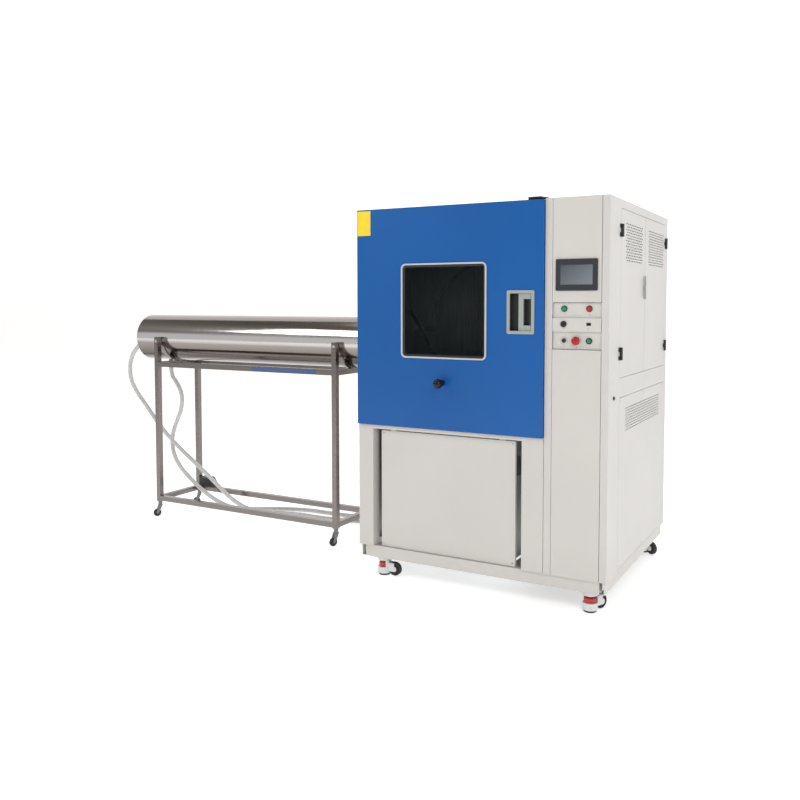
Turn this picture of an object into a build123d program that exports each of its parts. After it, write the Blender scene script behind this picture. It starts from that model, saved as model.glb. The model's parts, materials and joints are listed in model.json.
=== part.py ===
from build123d import *
import math
import os

os.makedirs("parts", exist_ok=True)

# Lengths are millimetres. Everything is laid out from the left face of the cabinet (x),
# the front of the control column (y) and the floor (z), and moved to its origin on export.

# Cabinet casing
CABINET_WIDTH = 1350.0
CABINET_DEPTH = 1180.0
CABINET_TOP = 1936.0
BASE_Z = 100.0
BASE_HEIGHT = 61.0
BASE_INSET = 11.0
BASE_WALL = 3.0
BASE_RAIL = 50.0
BASE_SIDE_RAIL = 24.0
CROSS_RAIL_X = (440.0, 880.0)
SHEET = 1.5
SEAM = 2.0
BEND = 3.0
ROOF_SHEET = 2.0
TRAY_DEPTH = 18.0
REAR_SPLIT_Z = 1000.0
BODY_Z = BASE_Z + BASE_HEIGHT
WALL_TOP = CABINET_TOP - ROOF_SHEET

# Test space door
DOOR_LEFT = 2.0
DOOR_WIDTH = 1038.0
DOOR_BOTTOM = 812.0
DOOR_TOP_GAP = 4.0
DOOR_PROUD = 14.0
DOOR_THICK = 74.0
DOOR_SHEET = 2.0
DOOR_RIGHT = DOOR_LEFT + DOOR_WIDTH
DOOR_TOP = CABINET_TOP - DOOR_TOP_GAP
DOOR_FRONT = -DOOR_PROUD
DOOR_BACK = DOOR_FRONT + DOOR_THICK
GASKET_GAP = 3.0
FLANGE_WIDTH = 38.0
GASKET_WIDTH = 22.0
GASKET_THICK = 2.6
FLANGE_Y = DOOR_BACK + GASKET_GAP

# Window in the door
WINDOW_X = 509.5
WINDOW_Z = 1409.0
WINDOW_SIZE = 478.0
WINDOW_CORNER = 26.0
WINDOW_RIM = 8.0
WINDOW_RIM_PROUD = 5.0
WINDOW_BAND = 10.0
WINDOW_BAND_DEPTH = 4.0
PANE_THICK = 5.0
PANE_SIZE = WINDOW_SIZE - 2 * WINDOW_RIM - 2.0
PANE_SINK = 1.0
PANE_FRONT = DOOR_FRONT + WINDOW_BAND_DEPTH
PANE_GAP = DOOR_BACK - PANE_SINK - PANE_FRONT - 2 * PANE_THICK

# Door handle
HANDLE_X = 925.5
HANDLE_Z = 1405.5
HANDLE_WIDTH = 140.0
HANDLE_HEIGHT = 208.0
HANDLE_RIM = 15.0
HANDLE_CORNER = 8.0
HANDLE_PROUD = 4.0
HANDLE_CUP_DEPTH = 32.0
HANDLE_WALL = 2.0
GRIP_BAR = 24.0
GRIP_THICK = 12.0
GRIP_ARM = 26.0
GRIP_REACH = 58.0
GRIP_PIN_RADIUS = 4.0
PIN_CLEARANCE = 0.05
GRIP_SWING = 40.0
LATCH_WIDTH = 30.0
LATCH_LENGTH = 62.0
LATCH_THICK = 8.0
LATCH_THROW = 10.0
LATCH_PROUD = 1.0

# Window wiper worked by hand from the front
WIPER_X = 509.0
WIPER_Z = 1050.0
KNOB_RADIUS = 24.0
KNOB_STAND = 50.0
COLLAR_RADIUS = 16.0
WIPER_SHAFT_RADIUS = 6.0
WIPER_ARM_LENGTH = 560.0
WIPER_BLADE_LENGTH = 360.0
WIPER_REST = 33.0
WIPER_GAP = 1.0

# Control column
COLUMN_LEFT = 1042.0
COLUMN_LEFT_STRIP = 36.0
COLUMN_RIGHT_STRIP = 35.0
STRIP_RETURN = 14.0
PANEL_DEPTH = 13.0
PANEL_LEFT = COLUMN_LEFT + COLUMN_LEFT_STRIP + SEAM
PANEL_RIGHT = CABINET_WIDTH - COLUMN_RIGHT_STRIP - SEAM
ROW_TOP = 1452.0
ROW_LAMPS = 1379.0
ROW_SWITCH = 1317.0
ROW_BOTTOM = 1233.0
ROW_RECESS = 10.0
EAR_WIDTH = 4.0
LAMP_Z = 1423.0
SWITCH_Z = 1352.0
BUTTON_Z = 1275.0
LEFT_FITTING_X = 1135.0
MIDDLE_FITTING_X = 1194.5
RIGHT_FITTING_X = 1255.0
FITTING_HOLE = 11.0
FITTING_NECK = 10.8
FITTING_RING = 14.5
FITTING_RING_THICK = 5.0
FITTING_BODY = 42.0
LENS_RADIUS = 11.0
CAP_RADIUS = 9.5
CAP_PROUD = 5.0
STEM_RADIUS = 5.0
BUTTON_TRAVEL = 3.0
MUSHROOM_RADIUS = 20.0
MUSHROOM_HEIGHT = 14.0
STOP_TRAVEL = 4.0
KEY_RADIUS = 7.0
USB_WIDTH = 21.0
USB_HEIGHT = 13.0

# Operator screen
SCREEN_X = 1196.0
SCREEN_Z = 1579.0
SCREEN_WIDTH = 200.0
SCREEN_HEIGHT = 146.0
SCREEN_CORNER = 5.0
SCREEN_BEZEL = 7.0
SCREEN_BODY = 34.0
SCREEN_MARGIN = 6.0
GLASS_WIDTH = 154.0
GLASS_HEIGHT = 91.0
GLASS_SINK = 1.0

# Lower front
POST_DEPTH = FLANGE_Y
HEADER_GAP = 3.0
HEADER_HEIGHT = 20.0
HEADER_TOP = DOOR_BOTTOM - HEADER_GAP
LEFT_POST = 88.0
RIGHT_POST_X = 929.0
ACCESS_X = (128.0, 889.0)
ACCESS_Z = (163.0, 780.0)
ACCESS_RECESS = 22.0
COVER_TAB = 14.0
COVER_TAB_THICK = 2.0
COVER_TAB_WIDTH = 30.0
COVER_TAB_FROM_END = 70.0

# Right side: doors, vents and lower cover
SIDE_X = (187.0, 1121.0)
SIDE_DOOR_Z = (1095.0, 1893.0)
SIDE_COVER_Z = (171.0, 998.0)
SIDE_DOOR_GAP = 3.0
SIDE_EDGE_GAP = 2.0
VENT_SLOT = 22.0
VENT_BAR = 5.0
VENT_PITCH_Y = 33.0
DOOR_VENT_ROWS = 10
DOOR_VENT_COLUMNS = 6
DOOR_VENT_PITCH_Z = 13.5
DOOR_VENT_TOP = 1776.0
COVER_VENT_ROWS = 9
COVER_VENT_COLUMNS = 22
COVER_VENT_TOP = 938.0
SIDE_HANDLE_Z = 1530.0
SIDE_HANDLE_LENGTH = 120.0
SIDE_HANDLE_WIDTH = 17.0
SIDE_HANDLE_PROUD = 14.0
SIDE_HANDLE_FROM_SEAM = 22.0
SIDE_HANDLE_SPINDLE = 5.0
SIDE_LOCK_Y = 87.0
SIDE_LOCK_Z = 1008.0
SIDE_LOCK_RADIUS = 9.0

# Butt hinges
HINGE_PIN = 4.0
HINGE_KNUCKLE = 8.0
HINGE_LEAF = 3.0
HINGE_LEAF_WIDTH = 24.0
DOOR_HINGE_HEIGHT = 120.0
DOOR_HINGE_Z = (960.0, 1372.0, 1784.0)
DOOR_HINGE_OUT = 10.0
SIDE_HINGE_HEIGHT = 60.0
SIDE_HINGE_Z = (1180.0, 1760.0)
SIDE_HINGE_OUT = 7.0
KNUCKLE_GAP = 0.4

# Test space
CHAMBER_X = (60.0, 1000.0)
CHAMBER_Z = (850.0, 1890.0)
CHAMBER_DEPTH = 1010.0
LINER = 2.0
ARCH_Y = 571.0
ARCH_Z = 1300.0
ARCH_RADIUS = 390.0
ARCH_TUBE = 9.0
ARCH_HUB = 17.0
ARCH_HUB_END = 26.0
ARCH_JOURNAL = 9.0
NOZZLE_COUNT = 17
NOZZLE_RADIUS = 4.0
NOZZLE_LENGTH = 8.0
BEARING_RADIUS = 32.0
BEARING_THICK = 30.0
TURNTABLE_Z = 1096.0
TURNTABLE_RADIUS = 250.0
TURNTABLE_THICK = 6.0
TURNTABLE_RIM = 12.0
TURNTABLE_HUB = 40.0
FIXTURE_PCD = 400.0
FIXTURE_HOLE = 4.25
SPINDLE_RADIUS = 12.5
PEDESTAL_RADIUS = 45.0
DRAIN_Y = 250.0
DRAIN_RADIUS = 24.0
LAMP_RADIUS = 55.0
LAMP_DEPTH = 40.0

# Machine space and lower bay
BOARD_X = 1150.0
BOARD_SHEET = 2.0
RESERVOIR_X = (140.0, 840.0)
RESERVOIR_Y = (110.0, 660.0)
RESERVOIR_HEIGHT = 420.0
RESERVOIR_WALL = 5.0
RESERVOIR_LID = 8.0
PUMP_X = 330.0
PUMP_RADIUS = 75.0
MOTOR_RADIUS = 68.0
PORT_Y = (880.0, 990.0)
PORT_Z = 345.0
PORT_RADIUS = 12.0
PORT_STAND = 60.0
PORT_DROP = 45.0
INLET_X = 1120.0
INLET_Z = 300.0
INLET_RADIUS = 10.0
INLET_LENGTH = 30.0
DRAIN_PORT_X = 980.0
DRAIN_PORT_Z = 230.0
DRAIN_PORT_RADIUS = 16.0
DRAIN_PORT_LENGTH = 30.0
PORT_NUT = 6.0
PORT_NUT_RIM = 7.0
GLAND_X = 1240.0
GLAND_Z = 300.0

# Roof switch above the door
ROOF_SWITCH_X = (930.0, 1022.0)
ROOF_SWITCH_HEIGHT = 16.0
ROOF_SWITCH_DEPTH = 34.0
ROOF_SWITCH_NOSE = 30.0
ROOF_SWITCH_BASE = 8.0

# Levelling casters under the cabinet
CASTER_X = (124.0, 1258.0)
CASTER_Y = (57.0, 1100.0)
CASTER_PLATE = 84.0
CASTER_PLATE_THICK = 4.0
CASTER_CUP_RADIUS = 36.0
CASTER_CUP_WALL = 3.0
CASTER_CUP_Z = 11.0
CASTER_CUP_TOP = 44.0
CASTER_WINDOW = 36.0
CASTER_WHEEL_RADIUS = 35.0
CASTER_WHEEL_WIDTH = 24.0
CASTER_WHEEL_LIFT = 1.5
CASTER_WHEEL_OFFSET = 66.0
CASTER_AXLE = 5.0
CASTER_FORK_GAP = 1.5
CASTER_FORK_PLATE = 4.0
CASTER_HEAD = 12.0
CASTER_KINGPIN = 10.0
FOOT_PAD_RADIUS = 32.0
FOOT_PAD_THICK = 14.0
FOOT_STEM_RADIUS = 8.0
FOOT_RING_RADIUS = 30.0
FOOT_RING_THICK = 18.0
FOOT_TRAVEL = 8.0
FOOT_RING_NOTCHES = 12
RUNNING_GAP = 0.5

# Trolley and horizontal water tank
TROLLEY_X = (-1853.0, -400.0)
TROLLEY_Y = (350.0, 715.0)
TUBE = 32.0
TUBE_WALL = 1.5
LEG_BOTTOM = 104.0
LEG_TOP = 1213.0
TOP_RAIL_Z = 1037.0
LOW_RAIL_Z = 125.0
SADDLE_WALL = 4.0
SADDLE_WIDTH = 40.0
SADDLE_BOLT = 5.0
TANK_X = (-2082.0, -171.0)
TANK_RADIUS = 155.0
TANK_WALL = 2.0
TANK_RIM = 12.0
TANK_CAP_WALL = 3.0
SIDE_PORT_Y = 450.0
SIDE_PORT_Z = 1172.0
SIDE_PORT_REACH = 35.0
LOW_PORT_X = -1925.0
LOW_PORT_DROP = 30.0
VALVE_BOX = (140.0, 60.0, 66.0)
VALVE_BOX_FROM_LEG = 12.0
LIGHT_WHEEL_RADIUS = 25.0
LIGHT_WHEEL_WIDTH = 18.0
LIGHT_WHEEL_OFFSET = 20.0
LIGHT_AXLE = 4.0
LIGHT_FORK_GAP = 1.5
LIGHT_FORK_PLATE = 2.5
LIGHT_PIN = 5.0
LIGHT_SOCKET = 22.0
LIGHT_CROWN = 5.0
LIGHT_HEAD_GAP = 0.5

# Worked out places of the trolley and tank
TANK_Y = (TROLLEY_Y[0] + TROLLEY_Y[1]) / 2
RAIL_TOP = TOP_RAIL_Z + TUBE / 2
TANK_Z = RAIL_TOP + SADDLE_WALL + TANK_RADIUS

# Water hoses
HOSE_RADIUS = 14.0
SIDE_PORT_END = (TANK_X[0] - SIDE_PORT_REACH, SIDE_PORT_Y, SIDE_PORT_Z)
SIDE_PORT_TILT = math.degrees(math.atan2(54.0, 73.0))
HOSE_ENDS = [(-PORT_STAND, y, PORT_Z - PORT_DROP) for y in PORT_Y]
UPPER_HOSE = [
    SIDE_PORT_END, (-2190, 450, 1118), (-2232, 451, 1040), (-2246, 455, 960),
    (-2228, 458, 885), (-2178, 462, 810), (-2100, 470, 725), (-2010, 480, 615),
    (-1905, 494, 508), (-1790, 525, 402), (-1675, 558, 300), (-1575, 590, 205),
    (-1500, 620, 122), (-1425, 652, 58), (-1335, 684, 22), (-1235, 716, 15),
    (-1110, 755, 14), (-960, 775, 14), (-810, 768, 14), (-680, 785, 14),
    (-560, 820, 14), (-440, 850, 14), (-325, 868, 14), (-225, 874, 48),
    (-130, 878, 112), (-PORT_STAND, PORT_Y[0], 200), HOSE_ENDS[0],
]
LOW_PORT_Z = TANK_Z - TANK_RADIUS - LOW_PORT_DROP
LOWER_HOSE = [
    (LOW_PORT_X, TANK_Y, LOW_PORT_Z), (LOW_PORT_X, TANK_Y, LOW_PORT_Z - 80), (-1868, 532, 892),
    (-1824, 535, 815), (-1835, 540, 715), (-1895, 545, 615), (-1945, 551, 510), (-1950, 560, 400),
    (-1900, 574, 295), (-1815, 592, 212), (-1730, 616, 135), (-1650, 650, 70),
    (-1560, 680, 26), (-1465, 708, 14), (-1355, 755, 14), (-1240, 815, 14),
    (-1125, 868, 14), (-990, 902, 14), (-840, 897, 14), (-690, 905, 14),
    (-540, 935, 14), (-425, 955, 14), (-325, 970, 14), (-225, 980, 48),
    (-130, 987, 112), (-PORT_STAND, PORT_Y[1], 200), HOSE_ENDS[1],
]

# Reach of the rigid pieces, which sets the origin: middle of the footprint, on the floor
LEFT_REACH = SIDE_PORT_END[0] - PORT_RADIUS * math.sin(math.radians(SIDE_PORT_TILT))
RIGHT_REACH = CABINET_WIDTH + SIDE_HANDLE_PROUD
FRONT_REACH = DOOR_FRONT - KNOB_STAND - KNOB_RADIUS
BACK_REACH = CABINET_DEPTH + INLET_LENGTH
SHIFT = (-(LEFT_REACH + RIGHT_REACH) / 2, -(FRONT_REACH + BACK_REACH) / 2, 0.0)


# Shared shapes
def block(x, y, z):
    """A straight-sided solid between two corners, each axis given as (low, high)."""
    size = (x[1] - x[0], y[1] - y[0], z[1] - z[0])
    return Pos((x[0] + x[1]) / 2, (y[0] + y[1]) / 2, (z[0] + z[1]) / 2) * Box(*size)


def rect(across, up, corner=0.0):
    """A rectangle between two (low, high) ranges, with optional round corners."""
    width, height = across[1] - across[0], up[1] - up[0]
    place = Pos((across[0] + across[1]) / 2, (up[0] + up[1]) / 2)
    if corner:
        return place * RectangleRounded(width, height, corner)
    return place * Rectangle(width, height)


def around(centre, size):
    """The (low, high) range of a size about its centre."""
    return centre - size / 2, centre + size / 2


def grow(span, by):
    """A (low, high) range made longer at both ends."""
    return span[0] - by, span[1] + by


def front_plane(y):
    """Plane that faces the front, with sketch axes X and Z."""
    return Plane(origin=(0, y, 0), x_dir=(1, 0, 0), z_dir=(0, -1, 0))


def side_plane(x):
    """Plane that faces the right, with sketch axes Y and Z."""
    return Plane(origin=(x, 0, 0), x_dir=(0, 1, 0), z_dir=(1, 0, 0))


def plan(z):
    """Level plane with sketch axes X and Y."""
    return Plane(origin=(0, 0, z))


def backward(y, sketch, depth):
    """A sketch in X and Z carried from y towards the back."""
    return extrude(front_plane(y) * sketch, amount=-depth)


def rightward(x, sketch, depth):
    """A sketch in Y and Z carried from x to the right, or to the left where depth is negative."""
    return extrude(side_plane(x) * sketch, amount=depth)


def upward(z, sketch, height):
    """A sketch in X and Y carried up from z."""
    return extrude(plan(z) * sketch, amount=height)


def rod(axis, centre, radius, span):
    """A cylinder along an axis; centre gives the two other coordinates in X, Y, Z order."""
    length = span[1] - span[0]
    middle = (span[0] + span[1]) / 2
    if axis == "X":
        return Pos(middle, *centre) * Rot(0, 90, 0) * Cylinder(radius, length)
    if axis == "Y":
        return Pos(centre[0], middle, centre[1]) * Rot(90, 0, 0) * Cylinder(radius, length)
    return Pos(*centre, middle) * Cylinder(radius, length)


def turned(axis, centre, profile):
    """A closed outline of (radius, distance along the axis) points turned about the axis."""
    outline = Plane.XZ * make_face(Polyline(*profile, close=True))
    body = revolve(outline, axis=Axis.Z)
    if axis == "X":
        return Pos(0, *centre) * Rot(0, 90, 0) * body
    if axis == "Y":
        return Pos(centre[0], 0, centre[1]) * Rot(-90, 0, 0) * body
    return Pos(*centre, 0) * body


def fold(points, wall, bend=BEND):
    """Section of a folded sheet whose inner side lies to the left of the points."""
    line = FilletPolyline(*points, radius=bend)
    return make_face(offset(line, wall, kind=Kind.INTERSECTION, side=Side.LEFT, closed=True))


def front_tray(y, x, z, depth, wall, holes=None):
    """A cover folded back on four edges, facing the front."""
    face = rect(x, z)
    if holes is not None:
        face = face - holes
    hollow = rect(grow(x, -wall), grow(z, -wall))
    return backward(y, face, depth) - backward(y + wall, hollow, depth)


def side_tray(x, y, z, depth, wall, holes=None):
    """A cover folded inward on four edges, facing the right, or the left where depth is positive."""
    face = rect(y, z)
    if holes is not None:
        face = face - holes
    hollow = rect(grow(y, -wall), grow(z, -wall))
    inset = wall if depth > 0 else -wall
    return rightward(x, face, depth) - rightward(x + inset, hollow, depth)


def slot_grid(left, top, columns, rows, pitch_y, pitch_z):
    """Staggered rows of ventilation slots."""
    slots = []
    for row in range(rows):
        shift = pitch_y / 2 if row % 2 else 0.0
        count = columns - 1 if row % 2 else columns
        for column in range(count):
            y = left + VENT_SLOT / 2 + shift + column * pitch_y
            slots.append(Pos(y, top - row * pitch_z) * Rectangle(VENT_SLOT, VENT_BAR))
    return Sketch() + slots


def hose(points):
    """A hose as straight runs joined by arcs as large as the runs allow."""
    places = [Vector(*point) for point in points]
    radii = []
    for before, here, after in zip(places, places[1:], places[2:]):
        first, second = here - before, after - here
        half_turn = math.radians(first.get_angle(second) / 2)
        radii.append(0.45 * min(first.length, second.length) / math.tan(half_turn))
    path = FilletPolyline(*points, radius=radii)
    start = Plane(origin=points[0], z_dir=places[1] - places[0])
    tube = sweep(start * Circle(HOSE_RADIUS), path=path)
    section = math.pi * HOSE_RADIUS ** 2
    print("hose length", round(path.length), "tightest radius", round(min(radii), 1),
          "volume ratio", round(tube.volume / (section * path.length), 5))
    return tube


def hinge_sleeve(x, y, z, leaf):
    """A knuckle with a pin hole, welded to its leaf."""
    barrel = rod("Z", (x, y), HINGE_KNUCKLE, z)
    bore = rod("Z", (x, y), HINGE_PIN + PIN_CLEARANCE, grow(z, 1))
    return (barrel + leaf) - bore


# Cabinet casing
def base_frame():
    """Welded channels that carry the cabinet, standing on the caster plates."""
    deep = (BASE_INSET, CABINET_DEPTH - BASE_INSET)
    tall = (BASE_Z, BODY_Z)
    inner_z = (BASE_Z + BASE_WALL, BODY_Z - BASE_WALL)
    left = (BASE_INSET, BASE_INSET + BASE_SIDE_RAIL)
    right = (CABINET_WIDTH - left[1], CABINET_WIDTH - left[0])
    length = deep[1] - deep[0]
    left_section = rect(left, tall) - rect((left[0] + BASE_WALL, left[1]), inner_z)
    right_section = rect(right, tall) - rect((right[0], right[1] - BASE_WALL), inner_z)
    pieces = [backward(deep[0], section, length) for section in (left_section, right_section)]
    open_z = (BASE_Z, BODY_Z - BASE_WALL)
    for y in ((deep[0], deep[0] + BASE_RAIL), (deep[1] - BASE_RAIL, deep[1])):
        section = rect(y, tall) - rect(grow(y, -BASE_WALL), open_z)
        pieces.append(rightward(left[1], section, right[0] - left[1]))
    for middle in CROSS_RAIL_X:
        x = around(middle, BASE_RAIL)
        section = rect(x, tall) - rect(grow(x, -BASE_WALL), open_z)
        pieces.append(backward(deep[0] + BASE_RAIL, section, length - 2 * BASE_RAIL))
    return pieces


def caster_plates():
    """Plates with a kingpin under each corner of the base."""
    top = (BASE_Z - CASTER_PLATE_THICK, BASE_Z)
    pin_z = (top[0] - CASTER_HEAD, top[0] + 1)
    plates = []
    for x in CASTER_X:
        for y in CASTER_Y:
            plate = block(around(x, CASTER_PLATE), around(y, CASTER_PLATE), top)
            plates.append(plate + rod("Z", (x, y), CASTER_KINGPIN, pin_z))
    return plates


def front_frame():
    """Posts, header strip and the left strip of the control column."""
    post_height = HEADER_TOP - HEADER_HEIGHT - BODY_Z
    left_post = fold([(0, POST_DEPTH), (0, 0), (LEFT_POST, 0), (LEFT_POST, POST_DEPTH)], SHEET)
    right_edge = COLUMN_LEFT - SEAM
    right_post = fold([(RIGHT_POST_X, POST_DEPTH), (RIGHT_POST_X, 0), (right_edge, 0),
                       (right_edge, POST_DEPTH)], SHEET)
    strip_right = COLUMN_LEFT + COLUMN_LEFT_STRIP
    strip = fold([(COLUMN_LEFT, FLANGE_Y + LINER), (COLUMN_LEFT, 0), (strip_right, 0),
                  (strip_right, STRIP_RETURN)], SHEET, SHEET)
    header_z = (HEADER_TOP - HEADER_HEIGHT, HEADER_TOP)
    header = fold([(POST_DEPTH, header_z[1]), (0, header_z[1]), (0, header_z[0]),
                   (POST_DEPTH, header_z[0])], SHEET, SHEET)
    return [
        upward(BODY_Z, left_post, post_height),
        upward(BODY_Z, right_post, post_height),
        rightward(0, header, COLUMN_LEFT - SEAM),
        upward(BODY_Z, strip, WALL_TOP - BODY_Z),
    ]


def cabinet_frame():
    """Everything that is welded together and painted: base, posts, header and column strip."""
    return base_frame() + caster_plates() + front_frame()


def casing_panels():
    """Left wall, two rear covers and the roof."""
    left_y = (FLANGE_Y + LINER, CABINET_DEPTH - TRAY_DEPTH)
    left = side_tray(0, left_y, (BODY_Z, WALL_TOP), TRAY_DEPTH, SHEET)
    for y in PORT_Y:
        left = left - rod("X", (y, PORT_Z), PORT_RADIUS + RUNNING_GAP, (-1, TRAY_DEPTH))
    rear_x = (0, CABINET_WIDTH)
    rear_y = CABINET_DEPTH - TRAY_DEPTH
    covers = []
    for z in ((BODY_Z, REAR_SPLIT_Z), (REAR_SPLIT_Z + SEAM, WALL_TOP)):
        cover = backward(rear_y, rect(rear_x, z), TRAY_DEPTH)
        hollow = rect(grow(rear_x, -SHEET), grow(z, -SHEET))
        covers.append(cover - backward(rear_y, hollow, TRAY_DEPTH - SHEET))
    for x, z, radius in ((INLET_X, INLET_Z, INLET_RADIUS), (DRAIN_PORT_X, DRAIN_PORT_Z, DRAIN_PORT_RADIUS),
                         (GLAND_X, GLAND_Z, INLET_RADIUS)):
        span = (rear_y, CABINET_DEPTH + 1)
        covers[0] = covers[0] - rod("Y", (x, z), radius + RUNNING_GAP, span)
    roof_outline = rect((0, CABINET_WIDTH), (FLANGE_Y, CABINET_DEPTH))
    roof_outline = roof_outline + rect((COLUMN_LEFT, CABINET_WIDTH), (0, FLANGE_Y))
    return [left] + covers + [upward(WALL_TOP, roof_outline, ROOF_SHEET)]


def right_side_frame():
    """Right wall folded round the front corner, with openings for the doors and lower cover."""
    strip_left = CABINET_WIDTH - COLUMN_RIGHT_STRIP
    rear = CABINET_DEPTH - TRAY_DEPTH
    section = fold([(strip_left, STRIP_RETURN), (strip_left, 0), (CABINET_WIDTH, 0), (CABINET_WIDTH, rear),
                    (CABINET_WIDTH - TRAY_DEPTH, rear)], SHEET, SHEET)
    wall = upward(BODY_Z, section, WALL_TOP - BODY_Z)
    for z in (SIDE_DOOR_Z, SIDE_COVER_Z):
        wall = wall - rightward(CABINET_WIDTH + 1, rect(grow(SIDE_X, SIDE_EDGE_GAP), grow(z, SIDE_EDGE_GAP)), -4)
    hole = rod("X", (SIDE_LOCK_Y, SIDE_LOCK_Z), SIDE_LOCK_RADIUS - 1 + PIN_CLEARANCE, grow((CABINET_WIDTH,) * 2, 3))
    return [wall - hole]


def lower_side_cover():
    """Removable cover of the lower right side, with its vent and mounting rails."""
    width = (COVER_VENT_COLUMNS - 1) * VENT_PITCH_Y + VENT_SLOT
    left = (SIDE_X[0] + SIDE_X[1] - width) / 2
    slots = slot_grid(left, COVER_VENT_TOP, COVER_VENT_COLUMNS, COVER_VENT_ROWS, VENT_PITCH_Y, DOOR_VENT_PITCH_Z)
    cover = side_tray(CABINET_WIDTH, SIDE_X, SIDE_COVER_Z, -TRAY_DEPTH, SHEET, slots)
    tab_x = (CABINET_WIDTH - SHEET - COVER_TAB_THICK, CABINET_WIDTH - SHEET)
    for z in (SIDE_COVER_Z[0] + COVER_TAB_FROM_END, SIDE_COVER_Z[1] - COVER_TAB_FROM_END):
        for y in ((SIDE_X[0] - COVER_TAB, SIDE_X[0] + SHEET), (SIDE_X[1] - SHEET, SIDE_X[1] + COVER_TAB)):
            cover = cover + block(tab_x, y, around(z, COVER_TAB_WIDTH))
    return [cover]


def lower_front_cover():
    """Removable access cover under the door, set back between the posts."""
    cover = front_tray(ACCESS_RECESS, ACCESS_X, ACCESS_Z, TRAY_DEPTH, SHEET)
    foot_y = (ACCESS_RECESS + 2 * SHEET, ACCESS_RECESS + TRAY_DEPTH)
    for x in (ACCESS_X[0] + COVER_TAB_FROM_END, ACCESS_X[1] - COVER_TAB_FROM_END):
        cover = cover + block(around(x, COVER_TAB_WIDTH), foot_y, (BODY_Z, ACCESS_Z[0] + SHEET))
        cover = cover + block(around(x, COVER_TAB_WIDTH), foot_y, (ACCESS_Z[1] - SHEET, HEADER_TOP - HEADER_HEIGHT))
    return [cover]


def column_fascia():
    """Upper cover of the control column, cut out for the screen, and the lower cover."""
    cut = rect(around(SCREEN_X, SCREEN_WIDTH - 2 * SCREEN_MARGIN), around(SCREEN_Z, SCREEN_HEIGHT - 2 * SCREEN_MARGIN))
    x = (PANEL_LEFT, PANEL_RIGHT)
    upper = front_tray(0, x, (ROW_TOP, WALL_TOP), PANEL_DEPTH, SHEET, cut)
    lower = front_tray(0, x, (BODY_Z, ROW_BOTTOM), PANEL_DEPTH, SHEET)
    return [upper, lower]


def fitting_places():
    """X, Z and the face depth of the round fittings on the control column."""
    return {
        "green_lamp": (LEFT_FITTING_X, LAMP_Z, ROW_RECESS),
        "red_lamp": (RIGHT_FITTING_X, LAMP_Z, ROW_RECESS),
        "key": (LEFT_FITTING_X, SWITCH_Z, 0.0),
        "start": (LEFT_FITTING_X, BUTTON_Z, ROW_RECESS),
        "stop": (MIDDLE_FITTING_X, BUTTON_Z, ROW_RECESS),
        "light": (RIGHT_FITTING_X, BUTTON_Z, ROW_RECESS),
    }


def control_fascia():
    """Folded plate with two recessed rows and a flush row between them."""
    deep, gap = ROW_RECESS, SEAM
    line = [(PANEL_DEPTH + deep, ROW_TOP - gap), (deep, ROW_TOP - gap), (deep, ROW_LAMPS), (0, ROW_LAMPS),
            (0, ROW_SWITCH), (deep, ROW_SWITCH), (deep, ROW_BOTTOM + gap), (PANEL_DEPTH + deep, ROW_BOTTOM + gap)]
    section = make_face(offset(Polyline(*line), SHEET, kind=Kind.INTERSECTION, side=Side.LEFT, closed=True))
    plate = rightward(PANEL_LEFT, section, PANEL_RIGHT - PANEL_LEFT)
    for x, z, face in fitting_places().values():
        plate = plate - rod("Y", (x, z), FITTING_HOLE, (-1, face + PANEL_DEPTH))
    ear_z = (ROW_SWITCH + SHEET, ROW_LAMPS - SHEET)
    ear_y = (STRIP_RETURN - EAR_WIDTH, STRIP_RETURN)
    for edge, side in ((PANEL_LEFT, 1), (PANEL_RIGHT, -1)):
        cheek = tuple(sorted((edge, edge + side * SHEET)))
        ear = tuple(sorted((edge - side * SEAM, edge + side * SHEET)))
        plate = plate + block(cheek, (0, STRIP_RETURN), ear_z) + block(ear, ear_y, ear_z)
    usb_x, usb_z = around(RIGHT_FITTING_X, USB_WIDTH - 4), around(SWITCH_Z, USB_HEIGHT - 4)
    return [plate - block(usb_x, (-1, PANEL_DEPTH), usb_z)]


def control_fittings():
    """Lamps, button collars with their contact blocks, the switch collar and the data socket."""
    places = fitting_places()
    pieces = []
    for name in ("green_lamp", "red_lamp"):
        x, z, face = places[name]
        front = face - FITTING_RING_THICK
        profile = [(0, front - 6), (7, front - 5), (LENS_RADIUS, front), (FITTING_RING, front), (FITTING_RING, face),
                   (FITTING_NECK, face), (FITTING_NECK, face + FITTING_BODY), (0, face + FITTING_BODY)]
        pieces.append(turned("Y", (x, z), profile))
    for name in ("start", "stop", "light", "key"):
        x, z, face = places[name]
        front = face - FITTING_RING_THICK
        back = face + FITTING_BODY
        rim = [(FITTING_RING, front), (FITTING_RING, face), (FITTING_NECK, face), (FITTING_NECK, back)]
        if name == "key":
            bore = KEY_RADIUS + PIN_CLEARANCE
            profile = [(bore, front)] + rim + [(bore, back)]
        else:
            bore, mouth = STEM_RADIUS + PIN_CLEARANCE, CAP_RADIUS + 0.4
            floor = face + BUTTON_TRAVEL + 4
            profile = [(mouth, front)] + rim + [(bore, back), (bore, floor), (mouth, floor)]
        pieces.append(turned("Y", (x, z), profile))
    usb_x, usb_z = around(RIGHT_FITTING_X, USB_WIDTH), around(SWITCH_Z, USB_HEIGHT)
    socket = block(usb_x, (-2.0, 0.0), usb_z)
    socket = socket + block(grow(usb_x, -2.2), (0.0, 18.0), grow(usb_z, -2.2))
    socket = socket - block(grow(usb_x, -4.0), (-3.0, 12.0), grow(usb_z, -3.5))
    pieces.append(socket)
    return pieces


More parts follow.
